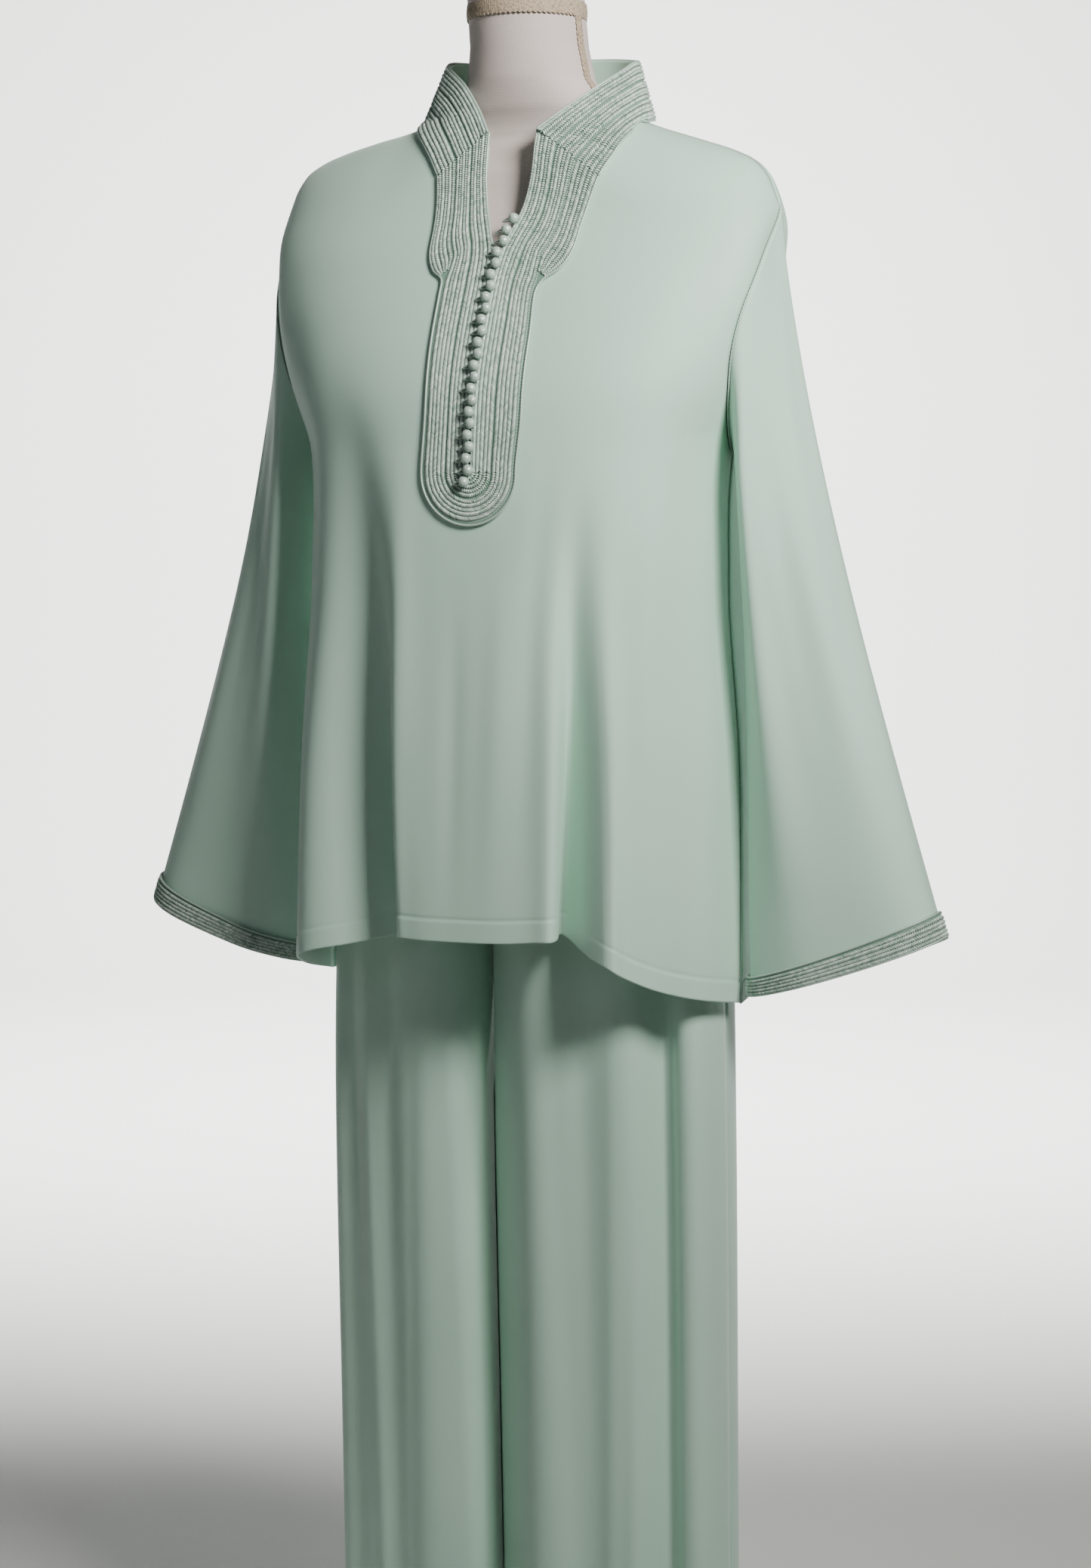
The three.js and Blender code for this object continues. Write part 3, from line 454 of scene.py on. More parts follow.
# Elastic gathers, about 9 mm apart, that die out at the stitched edges
gathers = 0.45 * np.sin(41 * turn + 0.7 * np.sin(5 * turn)) * np.sin(np.pi * (height - 1000) / 34)
out = gathers - 0.5
band = stack(share * (waist["left"] + out), (depth + np.sign(depth) * out) * ahead, height)
waistband = cloth("waistband", [(band, 1)], 2.0)

# ---- Tunic ------------------------------------------------------------------------------------------------
# A loose hip-length tunic of mint satin crepe: one front with a slit from the neck, one back, joined at the
# shoulders and side seams, with an 18 mm hem stitched up. It hangs from the form's shoulders and bust.
tunic_sections = {
    "z": [690, 900, 1050, 1150, 1205, 1265, 1310, 1350, 1390, 1420, 1445],
    "half": [193, 191, 181, 184, 198, 212, 220, 226, 226, 226, 226],
    "front": [138, 136, 134, 131, 125, 105, 86, 70, 64, 60, 58],
    "back": [120, 118, 112, 104, 99, 91, 81, 72, 64, 61, 60],
    "middle": [0, 0, 0, 0, 0, 1, 3, 6, 9, 10, 10],
}
shoulder_line = {
    "x": [-231, -225, -214, -200, -177, -144, -103, 0, 106, 153, 184, 202, 212, 218, 222],
    "z": [1350, 1378, 1396, 1405, 1413, 1421, 1430, 1474, 1424, 1408, 1397, 1387, 1375, 1361, 1350],
}
front_neck = {
    "x": [-91, -84, -74, -60, -12, 31, 80, 90, 96, 99],
    "z": [1434, 1424, 1414, 1403, 1404, 1404, 1396, 1404, 1415, 1427],
}
back_neck = {"x": [-91, -60, 4, 66, 99], "z": [1434, 1443, 1446, 1438, 1427]}
front_hem = {
    "u": [-1, -0.8, -0.58, -0.42, -0.2, 0.2, 0.475, 0.52, 0.6, 0.75, 1],
    "z": [704, 718, 740, 756, 753, 754, 758, 743, 729, 712, 697],
}
back_hem = {"u": [-1, -0.5, 0, 0.5, 1], "z": [704, 722, 734, 720, 696]}
# Folds: place round the panel at the hem, how far it wanders up to its top, width, mm outwards, top and bottom
front_folds = {
    "at": [-0.65, -0.43, -0.31, 0.39, 0.465, 0.54, 0.72],
    "lean": [0, -0.12, 0, 0, 0.03, 0.02, 0],
    "width": [0.1, 0.115, 0.05, 0.05, 0.048, 0.04, 0.07],
    "depth": [14, -58, 9, 6, -54, 19, -9],
    "top": [1230, 1265, 1150, 1120, 1150, 1140, 1130],
}
back_folds = {
    "at": [-0.62, -0.42, -0.12, 0.08, 0.3, 0.5, 0.7],
    "lean": [0, -0.06, 0, 0.03, 0, 0.08, 0],
    "width": [0.1, 0.1, 0.09, 0.08, 0.09, 0.1, 0.08],
    "depth": [9, -24, 6, -20, 8, -26, 8],
    "top": [1200, 1230, 1150, 1180, 1150, 1220, 1150],
}
# Smaller soft waves between the folds, shown by the satin's light: they rise and die out along their length
front_waves = {
    "at": [-0.8, -0.2, -0.05, 0.12, 0.24, 0.62, 0.84],
    "lean": [0.02, -0.12, 0.03, 0.1, 0.16, 0.1, 0.04],
    "width": [0.05, 0.06, 0.05, 0.06, 0.05, 0.04, 0.05],
    "depth": [2.5, 1.6, -1.5, 1.6, -1.8, 2.2, 2.2],
    "top": [1180, 1190, 1050, 1080, 1190, 1180, 1190],
}
back_waves = {
    "at": [-0.8, -0.27, 0.2, 0.4, 0.86],
    "lean": [0.03, 0.08, -0.08, 0.05, 0.02],
    "width": [0.05, 0.05, 0.05, 0.05, 0.05],
    "depth": [2.2, 1.8, 1.8, 2.0, 2.2],
    "top": [1180, 1200, 1210, 1190, 1180],
}
armhole = {"top": 1350, "bottom": 1150}
slit_opening = {"z": [1128, 1136, 1295, 1315, 1333, 1353, 1372, 1404], "half": [0, 2, 2, 4, 11, 17.5, 20.5, 21.5]}
# The slit: its middle, its ends, the hem below it, and the share of the front's rows that lies beside it
slit = {"shift": 9.5, "bottom": 1128, "top": 1434.0, "hem": 753, "rows": 10 / 23}
shoulders = {"half": 226, "slip": 4.5}
hem_turn = 18
back_gap = 2.3


def shift_at(z):
    """The shoulders have slipped a little to the wearer's right."""
    return -shoulders["slip"] * ease((z - 1150) / 120)


def seam_angle(z):
    """Angle from straight ahead at which the armhole cuts the section: a right angle above and below it."""
    share = np.clip((z - armhole["bottom"]) / (armhole["top"] - armhole["bottom"]), 0, 1)
    return np.radians(90 - 15 * np.abs(np.sin(np.pi * share)) ** 0.8)


def turn_in(face, x, z):
    """Share of the full depth near the shoulder line: a quarter circle over 70 mm in front and 45 behind."""
    below = np.clip((read(shoulder_line, "x", "z", x) - z) / (70 if face < 0 else 45), 0, 1)
    return np.sqrt(1 - (1 - below) ** 2)


def body_point(face, angle, z, hem=None):
    """The tunic's body: an oblique oval section turned in at the shoulders and pushed outwards by its folds, by
    the ridge beside the armhole and, near the hem, by the doubled cloth and its line of stitches."""
    across, ahead = oval_at(angle)
    wide = read(tunic_sections, "z", "half", z) * across
    depth = read(tunic_sections, "z", "front" if face < 0 else "back", z) * ahead
    turned_in = turn_in(face, wide + shift_at(z), z)
    u = angle / (np.pi / 2)
    out = 0 * (u + z)
    for at, lean, width, deep, top in zip(*(front_folds if face < 0 else back_folds).values()):
        share = (top - z) / (top - 700)
        out = out + deep * ease(share) * hump((u - at - lean * (1 - share)) / width)
    for at, lean, width, deep, top in zip(*(front_waves if face < 0 else back_waves).values()):
        share = np.clip((top - z) / (top - 700), 0, 1)
        out = out + deep * np.sin(np.pi * share**0.75) ** 2 * hump((u - at - lean * (1 - share)) / width)
    rise = np.clip((1370 - z) / 205, 0, 1)
    out = out + 8 * np.sin(np.pi * rise) * hump((np.abs(u) - 0.84) / 0.09) * turned_in
    if hem is not None:
        up = z - hem
        out = out + 0.35 * ease((hem_turn - up) / 1.5) - 0.55 * hump((up - hem_turn - 0.6) / 1.3)
    reach = np.maximum(np.hypot(wide, depth), 1e-6)
    y = read(tunic_sections, "z", "middle", z) + face * depth * turned_in * (1 + out / reach)
    return stack(wide + shift_at(z) + out * wide / reach, y, z)


def top_edge(neck, angle):
    """Height of a panel's top at an angle: round the neck inside, along the shoulder outside."""
    x = shoulders["half"] * oval_at(angle)[0] - shoulders["slip"]
    inside = (x > neck["x"][0]) & (x < neck["x"][-1])
    return np.where(inside, read(neck, "x", "z", x), read(shoulder_line, "x", "z", x))


def front_half(side, u, v):
    """Half of the front. u runs from the slit to the side, v from the top to the slit's end and on to the hem.
    Rows bend from the shoulder line down to the underarm and the hem."""
    beside = v < slit["rows"]
    down = np.clip(v / slit["rows"], 0, 1) ** 1.25
    below = np.clip((v - slit["rows"]) / (1 - slit["rows"]), 0, 1)
    slit_end = lambda z: slit["shift"] + side * np.where(z > slit["bottom"], read(slit_opening, "z", "half", z), 0)
    angle_at = lambda x, z: np.arctan2(
        (x - shift_at(z)) * oval["width"] / read(tunic_sections, "z", "half", z), oval["depth"]
    )
    inner_z = np.where(beside, mix(slit["top"], slit["bottom"], down), mix(slit["bottom"], slit["hem"], below))
    top = top_edge(front_neck, mix(angle_at(slit_end(slit["top"]), slit["top"]), side * np.pi / 2, u))
    hem_angle = mix(angle_at(slit["shift"], 700.0), side * np.pi / 2, u)
    hem = read(front_hem, "u", "z", hem_angle / (np.pi / 2))
    joint = mix(slit["bottom"], armhole["bottom"], ease(u * 1.5))
    z = np.where(beside, mix(top, joint, down), mix(joint, hem, below))
    angle = mix(angle_at(slit_end(inner_z), inner_z), side * seam_angle(z), u)
    return body_point(-1, angle, z, hem)


def back_panel(u, v):
    """The whole back: u runs from the wearer's right side seam to the left, v from the top to the hem."""
    side = 2 * u - 1
    top = top_edge(back_neck, side * np.pi / 2)
    hem = read(back_hem, "u", "z", side)
    down = np.clip(v / 0.4, 0, 1) ** 1.4
    below = np.clip((v - 0.4) / 0.6, 0, 1)
    z = np.where(v < 0.4, mix(top, armhole["bottom"], down), mix(armhole["bottom"], hem, below))
    return body_point(1, side * seam_angle(z), z, hem) + [0, back_gap, 0]


def trunk_y(face, x, z):
    """How far behind the origin the plain body section lies at x and z."""
    share = np.clip(np.abs(x - shift_at(z)) / read(tunic_sections, "z", "half", z), 0, 0.999)
    ahead = (1 - share ** oval["power"]) ** (1 / oval["power"])
    depth = read(tunic_sections, "z", "front" if face < 0 else "back", z)
    return read(tunic_sections, "z", "middle", z) + face * depth * ahead * turn_in(face, x, z)


def rows_between(ends, counts):
    """Row places from 0 to 1, evenly spaced between each two ends; the rows at the hems are the closest."""
    spans = [np.linspace(low, high, count)[1:] for low, high, count in zip(ends, ends[1:], counts)]
    return np.concatenate([[0.0], *spans])


u, v = np.meshgrid(np.linspace(0, 1, 64), rows_between([0, slit["rows"], 0.955, 1], [56, 60, 24]))
halves = [(front_half(side, u, v), -side) for side in (-1, 1)]
tunic_front = cloth("tunic_front", halves)

behind = back_panel(*np.meshgrid(np.linspace(0, 1, 121), rows_between([0, 0.4, 0.96, 1], [46, 56, 22])))
tunic_back = cloth("tunic_back", [(behind, 1)])

# ---- Sleeves ----------------------------------------------------------------------------------------------
# Wide straight-cut sleeves of the same crepe, sewn into the armholes and hanging free to the cuffs, each with
# a seam underneath. Empty, they fall flat in soft lengthwise folds.
sleeve_ends = {
    1: {"out_x": 367, "out_z": 761, "in_x": 203, "in_z": 706, "sag": 15},
    -1: {"out_x": 372, "out_z": 760, "in_x": 206, "in_z": 711, "sag": 20},
}
sleeve_folds = {
    "at": [0.12, 0.22, 0.31, 0.66, 0.77, 0.88],
    "width": [0.05, 0.05, 0.045, 0.05, 0.05, 0.05],
    "depth": [4, -4, 9, 7, -6, 5],
}
# Soft diagonal drags from the armhole: place round the sleeve, how it wanders, width, mm and where it dies out
sleeve_drags = {
    "at": [0.08, 0.17, 0.27, 0.36, 0.44, 0.6, 0.72, 0.83],
    "lean": [0.05, -0.05, -0.07, 0.04, -0.04, 0.05, -0.05, 0.03],
    "width": [0.022, 0.025, 0.022, 0.02, 0.02, 0.022, 0.025, 0.022],
    "depth": [1.4, -1.6, 1.6, 1.8, -1.6, 1.5, 1.5, -1.4],
    "end": [0.5, 0.7, 0.9, 0.5, 0.6, 0.8, 0.6, 0.7],
}
cuff_start = 0.965


def armhole_point(side, t):
    """The armhole's edge, t from its top round the front to the underarm and up the back; x runs outwards."""
    z = mix(armhole["bottom"], armhole["top"], (1 + np.cos(2 * np.pi * t)) / 2)
    front, back = body_point(-1, side * seam_angle(z), z), body_point(1, side * seam_angle(z), z)
    blend = ease((np.sin(2 * np.pi * (t - 0.5)) + 0.25) / 0.5)
    return mix(front, back, blend[..., None]) * [side, 1, 1]


def sleeve_point(side, t, v):
    """A sleeve: straight from the armhole's edge to a flat oval end, hanging in at its outer edge, standing off
    the body under the arm, and pushed out by its folds."""
    c, s = np.cos(2 * np.pi * t), np.sin(2 * np.pi * t)
    outside = (1 + c) / 2
    e = sleeve_ends[side]
    end = stack(
        mix(e["in_x"], e["out_x"], outside), 4 - 36 * np.sign(s) * np.abs(s) ** 0.8,
        mix(e["in_z"], e["out_z"], outside) - 6 * np.abs(s),
    )
    p = mix(armhole_point(side, t), end, v[..., None])
    p[..., 0] -= e["sag"] * outside * np.sin(np.pi * v**0.75)
    p[..., 0] += (5 if side > 0 else 8) * (1 - outside) * np.sin(np.pi * v**0.45) + 2.2 * (1 - v)
    swell = np.sin(np.pi * np.minimum(1, v * 1.15))
    out = folds_at(sleeve_folds, t, (0.25 + 0.75 * swell) * ease(v * 6))
    for at, lean, width, deep, end_v in zip(*sleeve_drags.values()):
        share = np.clip(v / end_v, 0, 1)
        out = out + deep * np.sin(np.pi * share**0.8) ** 2 * hump((t - at - lean * share) / width)
    p[..., 1] -= np.sign(s) * out * np.minimum(1, np.abs(s) * 4)
    p[..., 0] *= side
    return p


for side, word in ((-1, "right"), (1, "left")):
    t, v = np.meshgrid(np.linspace(0, 1, 97), rows_between([0, 0.9, 1], [96, 22]))
    t[:, -1] = 0
    tube = sleeve_point(side, t, v)
    # The seam allowance goes in under the armhole's edge
    tuck = tube[:1] - outward(tube, side)[:1] * 3.0 - [side * 4.0, 0, 0]
    tube = np.concatenate([tuck, tube])
    piece = cloth(f"sleeve_{word}", [(tube, side)])

# ---- Front band, collar and cuffs -------------------------------------------------------------------------
# Hand-stitched chain braid of shiny rayon: columns of slanted stitches, two to a chain, in groups between
# sunk rows, edged with twisted cord. One band runs round the slit, one is the stand collar, one closes each cuff.
placket_edges = {
    "s": [0, 1, 2, 2.7, 3.3, 3.8, 4.2, 5, 6, 7],
    "in_x": [21.5, 21.5, 20, 16, 9.5, 4, 2.2, 1.9, 1.9, 1.9],
    "in_z": [1415, 1393, 1370, 1349, 1330, 1315, 1296, 1250, 1190, 1134],
    "left_x": [79, 74, 70, 67, 59, 46, 42, 44, 44, 40],
    "left_z": [1374, 1355, 1333, 1312, 1298, 1288, 1276, 1240, 1186, 1134],
    "right_x": [66, 64, 62.5, 61, 54.5, 45, 44, 43.5, 41.5, 44],
    "right_z": [1382, 1362, 1337, 1314, 1300, 1292, 1280, 1244, 1186, 1134],
}
collar_left = {
    "s": [0, 1, 2, 3, 4, 5, 6, 7],
    "top_x": [31, 49, 71, 84, 86, 77, 48, 4],
    "top_z": [1415, 1430, 1449, 1464, 1474, 1480, 1486, 1489],
    "top_y": [-52, -41, -24, -4, 16, 44, 62, 68],
    "base_x": [88.5, 97, 102, 103.5, 103, 90, 53, 4],
    "base_z": [1374, 1393, 1408, 1419, 1426, 1431, 1436, 1440],
    "base_y": [-46, -44, -31, -10, 14, 46, 66, 72],
}
collar_right = {
    "s": [0, 1, 2, 3, 4, 5, 6, 7],
    "top_x": [-12, -26, -47, -71, -77, -68, -40, 4],
    "top_z": [1415, 1436, 1459, 1477, 1484, 1487, 1489, 1489],
    "top_y": [-52, -41, -24, -4, 16, 44, 62, 68],
    "base_x": [-56.5, -66, -79, -93.5, -100, -84, -46, 4],
    "base_z": [1382, 1397, 1411, 1424, 1432.5, 1436, 1439, 1440],
    "base_y": [-50, -46, -31, -9.5, 14, 46, 66, 72],
}
group_ends = np.array([0, 0.4, 0.7, 1])
# Length, columns a group, rise, thickness and slant of a stitch; the widths at which a column ends and at which its
# stitches reach full thickness; the height of the ground they lie on and the rise of a group's back
braid = {
    "stitch": 1.9, "columns": 5, "lift": 0.75, "radius": 0.95, "slant": 1.7, "narrowest": 1.9, "full": 3.4,
    "ground": 2.4, "back": 0.42,
}


def placket_point(across, q):
    """The front band on the tunic's body: from its inner to its outer edge, q from -1 at the V's right corner
    down, round the end as a half circle, and up to 1 at its left corner."""
    s = 8 * (1 - np.abs(q))
    down, bend = np.minimum(s, 7), np.pi / 2 * np.maximum(0, s - 7)
    at = lambda column: read(placket_edges, "s", column, down)
    outer_x = mix(np.where(q < 0, at("right_x"), at("left_x")), 42, ease(np.maximum(0, s - 6.6) / 1.2))
    outer_z = np.where(q < 0, at("right_z"), at("left_z"))
    wide = mix(at("in_x"), outer_x, across)
    x = slit["shift"] + np.where(q < 0, -1, 1) * wide * np.cos(bend)
    z = mix(at("in_z"), outer_z, across) - wide * np.sin(bend)
    return stack(x, trunk_y(-1, x, z), z)


def collar_point(across, q):
    """The stand collar from its top to its base edge, q from -1 at the V's right corner round the back to 1. Its
    base lies on the chest in front and on the back panel behind."""
    s = 7 * (1 - np.abs(q))
    at = lambda part: np.where(
        q < 0,
        mix(read(collar_right, "s", f"top_{part}", s), read(collar_right, "s", f"base_{part}", s), across),
        mix(read(collar_left, "s", f"top_{part}", s), read(collar_left, "s", f"base_{part}", s), across),
    )
    x, y, z = at("x"), at("y"), at("z")
    chest = mix(trunk_y(-1, x, z) - 0.4, 60, ease((s - 3.5) / 0.5))
    nape = mix(-60, trunk_y(1, x, z) + back_gap + 0.4, ease((s - 4.2) / 0.6))
    return stack(x, np.where(s < 4, np.minimum(y, chest), np.maximum(y, nape)), z)


def placket_grooves(q):
    """Shares of the width at which the groups end: at the notch the outer group runs out into its cord."""
    low = ease((8 * (1 - np.abs(q)) - 3.2) / 0.8)
    return np.stack([0 * low, mix(0.32, 0.46, low), mix(0.63, 0.93, low), 0 * low + 1])


def in_group(u):
    """The group that a column lies in, and how far across it the column lies, from 0 to 1."""
    k = np.clip(np.searchsorted(group_ends, u, side="right") - 1, 0, 2)
    return k, (u - group_ends[k]) / (group_ends[k + 1] - group_ends[k])


def across_at(u, grooves):
    """Share of the width at a column, straight between the grooves on its two sides."""
    k, t = in_group(u)
    low, high = np.take_along_axis(grooves, k[None], 0)[0], np.take_along_axis(grooves, k[None] + 1, 0)[0]
    return mix(low, high, t)


def rib_at(u):
    """Height of the stitches at a column: each group has a rounded back between sunk ends."""
    return braid["ground"] + braid["back"] * np.sin(np.pi * np.clip(in_group(u)[1], 0, 1)) ** 0.5


def sample(grid, u, v):
    """Points between those of a grid, straight along both of its ways; u and v run from 0 to 1."""
    rows, columns = grid.shape[:2]
    u, v = np.broadcast_arrays(u, v)
    x, y = np.clip(u, 0, 1) * (columns - 1), np.clip(v, 0, 1) * (rows - 1)
    i, j = np.minimum(x.astype(int), columns - 2), np.minimum(y.astype(int), rows - 2)
    s, t = (x - i)[..., None], (y - j)[..., None]
    return mix(mix(grid[j, i], grid[j, i + 1], s), mix(grid[j + 1, i], grid[j + 1, i + 1], s), t)


# Rayon chain braid: twisted shiny yarn, pale mint with a silver cast on its backs. Each stitch takes its own shade of
# the dye. The sunk rows between the columns are the ground below, coloured dark as painted shade.
rayon = empty_material("shiny rayon chain braid, mint")
shade_of = add_node(rayon, "ShaderNodeAttribute", {"attribute_name": "tone"})
finish(
    rayon, noise(rayon, 1400.0, 1.0), 0.25, 0.0003,
    {"Roughness": 0.34, "Specular IOR Level": 0.65, "Sheen Weight": 0.2, "Anisotropic": 0.4, "Metallic": 0.12},
    {"Base Color": ramp(rayon, (shade_of, "Fac"), "#86AD99", "#E4F1E9")},
)

# The ground the braid is stitched to: the same yarn couched flat, coloured a darker green than the stitches as
# painted shade between the columns
ground = empty_material("couched rayon ground, painted shade")
strands = noise(ground, 900.0)
finish(
    ground, strands, 0.5, 0.0005, {"Roughness": 0.55, "Sheen Weight": 0.2},
    {"Base Color": ramp(ground, strands, "#5C7F6D", "#86A896")},
)

chance = np.random.default_rng(7)


def stitches(name, points, normals, groups, heights):
    """Slanted stitches on a band. Each is a spindle of four rings of four points that leans one way in one column
    and the other way in the next. The columns share a group's width; the stitches are evenly spaced along it."""
    rows = np.linspace(0, 1, len(points))
    columns = braid["columns"]
    found = []
    for k in range(len(groups) * columns):
        low, high = groups[k // columns]
        half = (high - low) / 2 / columns
        u = low + (2 * (k % columns) + 1) * half
        gone = run_along(sample(points, u, rows))
        count = int(gone[-1] / braid["stitch"])
        v = np.interp((np.arange(count) + 0.5) / count * gone[-1], gone, rows)
        lean = braid["slant"] / gone[-1] * (1 if k % 2 else -1)
        wide = np.linalg.norm(sample(points, u + half, v) - sample(points, u - half, v), axis=1)[:, None]
        ends = sample(points, u - half, v - lean), sample(points, u + half, v + lean), sample(normals, u, v)
        one_column = np.concatenate([*ends, heights(u) + 0 * wide, wide], 1)
        found.append(one_column[wide[:, 0] > braid["narrowest"]])
    start, end, up, lift, wide = np.split(np.concatenate(found), [3, 6, 9, 10], axis=1)
    up, along = unit(up), end - start
    aside = unit(np.cross(up, along))
    lift = lift + chance.normal(0, 0.09, len(start))[:, None]
    full = braid["radius"] * (0.75 + 0.25 * np.minimum(1, wide / braid["full"]))
    rings = []
    for t, thick, rise in ((0.02, 0.3, 0.0), (0.3, 1, 0.85), (0.68, 1, 0.9), (0.98, 0.3, 0.0)):
        middle = start + along * t + up * (lift + braid["lift"] * rise)
        across, over = aside * full * thick, up * full * thick * 0.8
        rings.append(np.stack([middle + across, middle + over, middle - across, middle - over], 1))
    ring = np.stack(rings, 1)
    count = len(start)
    base = np.arange(count)[:, None, None] * 16
    i, j = np.meshgrid(np.arange(4), np.arange(3))
    quads = np.stack([j * 4 + i, j * 4 + (i + 1) % 4, j * 4 + 4 + (i + 1) % 4, j * 4 + 4 + i], -1).reshape(-1, 4)
    caps = np.array([[3, 2, 1, 0], [12, 13, 14, 15]])
    faces = (np.concatenate([quads, caps])[None] + base).reshape(-1, 4)
    tone = np.repeat(np.clip(0.55 + chance.normal(0, 0.2, count), 0, 1), 16)
    piece = add_piece(name, ring.reshape(-1, 3), [faces], rayon, tone=tone)


def twisted_cord(line, up, radius, pitch=2.6, closed=False):
    """Two plies twisted: round a line, the radius swells twice round and the swelling turns as it goes along."""
    gone = run_along(line)
    steps = np.linspace(0, gone[-1], int(gone[-1] / 0.75) + 2)
    even = lambda values: np.stack([np.interp(steps, gone, values[:, k]) for k in range(3)], -1)
    middle = even(line)
    ahead = np.gradient(middle, axis=0)
    if closed:
        ahead[0] = ahead[-1] = middle[1] - middle[-2]
    ahead = unit(ahead)
    aside = unit(np.cross(ahead, even(up)))
    above = np.cross(aside, ahead)
    turn = np.linspace(0, 2 * np.pi, 8)
    turns = np.pi * steps[:, None] / pitch
    if closed:
        turns *= np.round(turns[-1, 0] / np.pi) / (turns[-1, 0] / np.pi)
    reach = radius * (0.8 + 0.2 * np.cos(2 * (turn[None] - turns)))
    if not closed:
        reach[[0, -1]] *= 0
    points = middle[:, None] + reach[..., None] * (
        np.cos(turn)[None, :, None] * aside[:, None] + np.sin(turn)[None, :, None] * above[:, None]
    )
    if closed:
        points[-1] = points[0]
    return points


def cord_piece(name, cords):
    """Several twisted cords as one mesh, all in one tone."""
    points, faces, count = [], [], 0
    for cord in cords:
        rows, columns = cord.shape[0], cord.shape[1] - 1
        ids = np.arange(rows * columns).reshape(rows, columns) + count
        ids = np.concatenate([ids, ids[:, :1]], 1)
        faces.append(np.stack([ids[:-1, :-1], ids[:-1, 1:], ids[1:, 1:], ids[1:, :-1]], -1).reshape(-1, 4))
        points.append(cord[:, :-1].reshape(-1, 3))
        count += rows * columns
    piece = add_piece(name, np.concatenate(points), [np.concatenate(faces)], rayon, tone=np.full(count, 0.45))


def piping(name, points, normals, cords, closed=False):
    """Cords along a band, each at a share of the band's width, at a height over it and with a radius."""
    rows = np.linspace(0, 1, len(points))
    twisted = []
    for share, height, radius in cords:
        up = sample(normals, share, rows)
        twisted.append(twisted_cord(sample(points, share, rows) + up * height, up, radius, closed=closed))
    cord_piece(name, twisted)


def thin(values, rows, columns):
    """A grid with fewer rows and columns, its edges kept."""
    kept = [np.linspace(0, size - 1, count).round().astype(int) for size, count in zip(values.shape, (rows, columns))]
    return values[np.ix_(*kept)]


def band_ground(name, points, normals, size, heights, facing, node):
    """The ground of a band: its surface, with fewer rows and columns, from a lower to an upper height, and its four
    edges closed."""
    points, normals = thin(points, *size), thin(normals, *size)
    low, high = points + normals * heights[0], points + normals * heights[1]
    ring = lambda a, b: np.stack([a, b])
    parts = [(high, facing), (low, -facing), (ring(low[0], high[0]), -facing), (ring(low[-1], high[-1]), facing)]
    if not np.allclose(points[:, 0], points[:, -1], atol=1e-4):
        parts += [(ring(low[:, 0], high[:, 0]), facing), (ring(low[:, -1], high[:, -1]), -facing)]
    piece = surface(name, parts, ground)
    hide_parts(node)
    return piece


# Front band
u, v = np.meshgrid(np.linspace(0, 1, 61), np.linspace(0, 1, 900))
q = 2 * v - 1
grid = placket_point(across_at(u, placket_grooves(q)), q)
normal = outward(grid, 1)
placket_ground = band_ground("placket_ground", grid, normal, (180, 31), (0.9, braid["ground"]), 1, "placket")
groups = list(zip(group_ends[:-1] + 0.012, group_ends[1:] - 0.012))
stitches("placket_braid", grid, normal, groups, rib_at)
piping("placket_piping", grid, normal, [(0.0, 2.4, 1.25), (1.0, 2.3, 1.25), (0.4, 1.7, 0.8), (0.7, 1.9, 0.8)])

# Stand collar
u, v = np.meshgrid(np.linspace(0, 1, 61), np.linspace(0, 1, 700))
q = 0.9995 * (2 * v - 1)
grooves = np.array([0, 0.32, 0.63, 1])[:, None, None] + 0 * q
grid = collar_point(across_at(u, grooves), q)
normal = outward(grid, -1)
collar_ground = band_ground("collar_ground", grid, normal, (140, 31), (0.9, braid["ground"]), -1, "collar")
stitches("collar_braid", grid, normal, groups, rib_at)
piping("collar_piping", grid, normal, [(0.0, 2.2, 1.35), (1.0, 2.1, 1.2), (0.4, 1.5, 0.8), (0.7, 1.6, 0.8)])
lining_grid = grid[::6, ::3] + normal[::6, ::3] * 0.8
lining = surface("collar_lining", [(lining_grid, -1)], satin, 0.5)

# Cuffs
for side, word in ((-1, "right"), (1, "left")):
    v, t = np.meshgrid(np.linspace(0, 1, 31), np.linspace(0, 1, 700))
    t[-1] = 0
    grid = sleeve_point(side, t, mix(cuff_start, 1, v))
    lying = np.swapaxes(grid, 0, 1)
    normal = np.swapaxes(outward(lying, side), 0, 1)
    ground_piece = band_ground(
        f"cuff_{word}_ground", lying, outward(lying, side), (11, 234), (0.6, 2.2), side, f"cuff_{word}"
    )
    stitches(f"cuff_{word}_braid", grid, normal, [(0.16, 0.98)], lambda u: 2.3)
    piping(f"cuff_{word}_piping", grid, normal, [(0.04, 2.2, 1.1), (1.0, 2.1, 1.1)], closed=True)

# ---- Buttons and loops ------------------------------------------------------------------------------------
# Small knotted balls of the braid's yarn, sewn down the left edge of the slit, each with a cord loop that
# reaches back under it to the other edge. The row wavers a little from button to button.
button_row = {"count": 24, "radius": 4.4, "top": 1342, "bottom": 1127, "waver": 1.1, "turn": 0.9}
loop = {"reach": 11.5, "fall": 2.2, "strands": (-1.3, 1.3), "off": 4.4, "arch": 1.4, "radius": 0.8, "pitch": 1.8}
lean = {"turns": 3, "slope": 4.2, "over": 0.3}


def spin(points, angle, one, other):
    """Points turned by an angle in the plane of two of their axes."""
    turned_points = points.copy()
    turned_points[..., one] = points[..., one] * np.cos(angle) - points[..., other] * np.sin(angle)
    turned_points[..., other] = points[..., one] * np.sin(angle) + points[..., other] * np.cos(angle)
    return turned_points


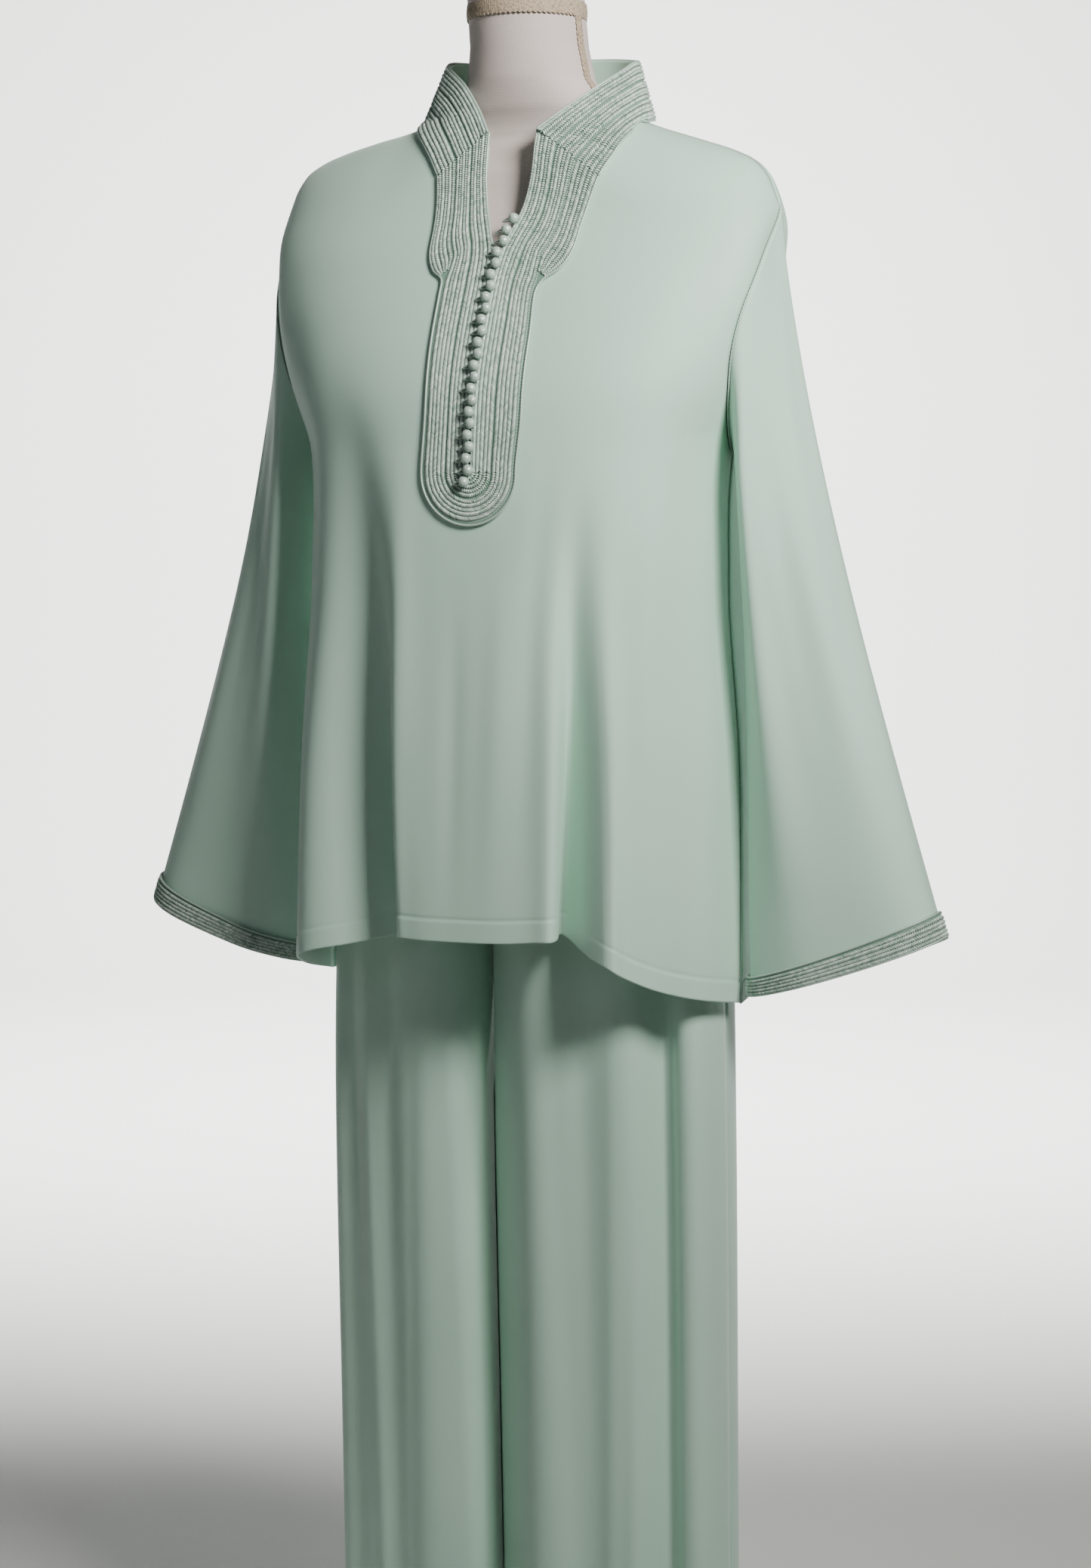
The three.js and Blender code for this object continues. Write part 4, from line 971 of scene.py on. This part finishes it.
# A ball on which strands cross both ways: each strand rises and sinks as it passes over and under the others
polar, azimuth = np.meshgrid(
    np.linspace(0.001, np.pi - 0.001, 17), np.linspace(0, 2 * np.pi, 25), indexing="ij"
)
one = lean["turns"] * azimuth + lean["slope"] * polar
other = lean["turns"] * azimuth - lean["slope"] * polar
knot = np.maximum(
    np.cos(one) ** 2 * (1 + lean["over"] * np.sin(2 * other)),
    np.cos(other) ** 2 * (1 - lean["over"] * np.sin(2 * one)),
)
reach = button_row["radius"] * (0.76 + 0.26 * knot ** 0.7 * (0.35 + 0.65 * np.sin(polar)))
ball = stack(
    reach * np.sin(polar) * np.cos(azimuth), -reach * np.cos(polar), reach * np.sin(polar) * np.sin(azimuth)
)
loops = []
for k in range(button_row["count"]):
    z = float(mix(button_row["top"], button_row["bottom"], k / (button_row["count"] - 1)))
    half = float(read(slit_opening, "z", "half", z))
    x = slit["shift"] + 0.6 * half + 3 * float(ease((z - 1120) / 120)) - 1 + button_row["waver"] * (-1) ** k
    rise = 0.7 * ease((z - 1130) / 130) + 0.45 + 0.2 * ease((1138 - z) / 8) - 0.6 * ease((z - 1334) / 6)
    y = float(trunk_y(-1, x, z) - 2.9 - rise - button_row["radius"])
    knotted = spin(ball, button_row["turn"] * k, 0, 2) + [x, y, z]
    piece = surface(f"button_{k + 1:02d}_knot", [(knotted, -1)], rayon, tone=0.5)
    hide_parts(f"button_{k + 1:02d}")
    along = np.linspace(0, 1, 24)
    for shift in loop["strands"]:
        loop_x = x - loop["reach"] * along
        loop_z = z - loop["fall"] * along + shift * (1 - along**4)
        loop_y = trunk_y(-1, loop_x, loop_z) - loop["off"] - loop["arch"] * np.sin(np.pi * along) ** 0.8
        up = stack(0 * along, -1 + 0 * along, 0 * along)
        loops.append(twisted_cord(stack(loop_x, loop_y, loop_z), up, loop["radius"], loop["pitch"]))
cord_piece("button_loops", loops)

# Piping of the same yarn, thin and dark, in the armhole seams and sewn along the side seams
seams = []
for side in (-1, 1):
    t = np.linspace(0, 1, 400)
    t[-1] = 0
    up = stack(0.35 + 0 * t, -np.sin(2 * np.pi * t), np.cos(2 * np.pi * t))
    line = (armhole_point(side, t) + unit(up) * 0.9 + [1.2, 0, 0]) * [side, 1, 1]
    seams.append(twisted_cord(line, up * [side, 1, 1], 0.85, 3.0, closed=True))
    v = np.linspace(slit["rows"], 1, 300)
    line = front_half(side, 1 + 0 * v, v) + [side * 0.5, 0.8, 0]
    seams.append(twisted_cord(line, stack(side + 0 * v, 0 * v, 0 * v), 0.6, 4.0))
cord_piece("seam_piping", seams)

# ---- Floor, light and camera ------------------------------------------------------------------------------
# A plain pale floor that curves up into a pale wall, lit softly from the front right.
paper = empty_material("matt white background paper")
finish(paper, noise(paper, 60.0), 0.05, 0.001, {"Base Color": linear("#F2F2F0"), "Roughness": 0.9}, {})
floor = {"half": 6000, "back": 4700, "bend": 1500, "top": 6000, "turn": np.radians(25)}
bend = np.linspace(0, np.pi / 2, 24)
profile = np.array([
    (-floor["half"], 0), (floor["back"], 0),
    *zip(floor["back"] + floor["bend"] * np.sin(bend), floor["bend"] * (1 - np.cos(bend))),
    (floor["back"] + floor["bend"], floor["top"]),
])
wide = np.linspace(-floor["half"], floor["half"], 12)
sweep = stack(wide + 0 * profile[:, :1], profile[:, :1] + 0 * wide, profile[:, 1:] + 0 * wide)
backdrop = surface("paper_backdrop", [(spin(sweep, floor["turn"], 0, 1), 1)], paper)


def soft_light(name, where, towards, size, power, colour, spread=180):
    """A square area light at a place, turned to a point; a grid before it narrows its spread, in degrees."""
    lamp = bpy.data.lights.new(name, "AREA")
    lamp.shape = "RECTANGLE"
    lamp.size, lamp.size_y = size
    lamp.energy = power
    lamp.color = linear(colour)[:3]
    lamp.spread = np.radians(spread)
    holder = bpy.data.objects.new(name, lamp)
    holder.location = where
    holder.rotation_euler = (Vector(towards) - Vector(where)).to_track_quat("-Z", "Y").to_euler()
    bpy.context.scene.collection.objects.link(holder)


soft_light("key", (1.3, -0.86, 2.0), (0.05, 0, 1.5), (0.5, 0.5), 23, "#FFFBF5", 120)
soft_light("fill", (-1.0, -2.9, 2.2), (-0.1, 0, 1.5), (1.4, 1.4), 0.9, "#F6FAFF", 60)
soft_light("backdrop_wash", (-0.8, 1.7, 3.0), (-2.1, 4.5, 0.9), (4.0, 1.0), 560, "#FFFFFF", 150)
world = bpy.data.worlds.new("even room light")
bpy.context.scene.world = world
world.use_nodes = True
world.node_tree.nodes["Background"].inputs["Color"].default_value = (1, 1, 1, 1)
world.node_tree.nodes["Background"].inputs["Strength"].default_value = 0.022

lens = bpy.data.cameras.new("camera")
lens.lens = 70.0
lens.sensor_width = 36.0
camera = bpy.data.objects.new("camera", lens)
camera.location = (1.1075, -2.3431, 1.0815)
camera.rotation_euler = (np.radians(85.4), 0, np.radians(25))
bpy.context.scene.collection.objects.link(camera)
bpy.context.scene.camera = camera
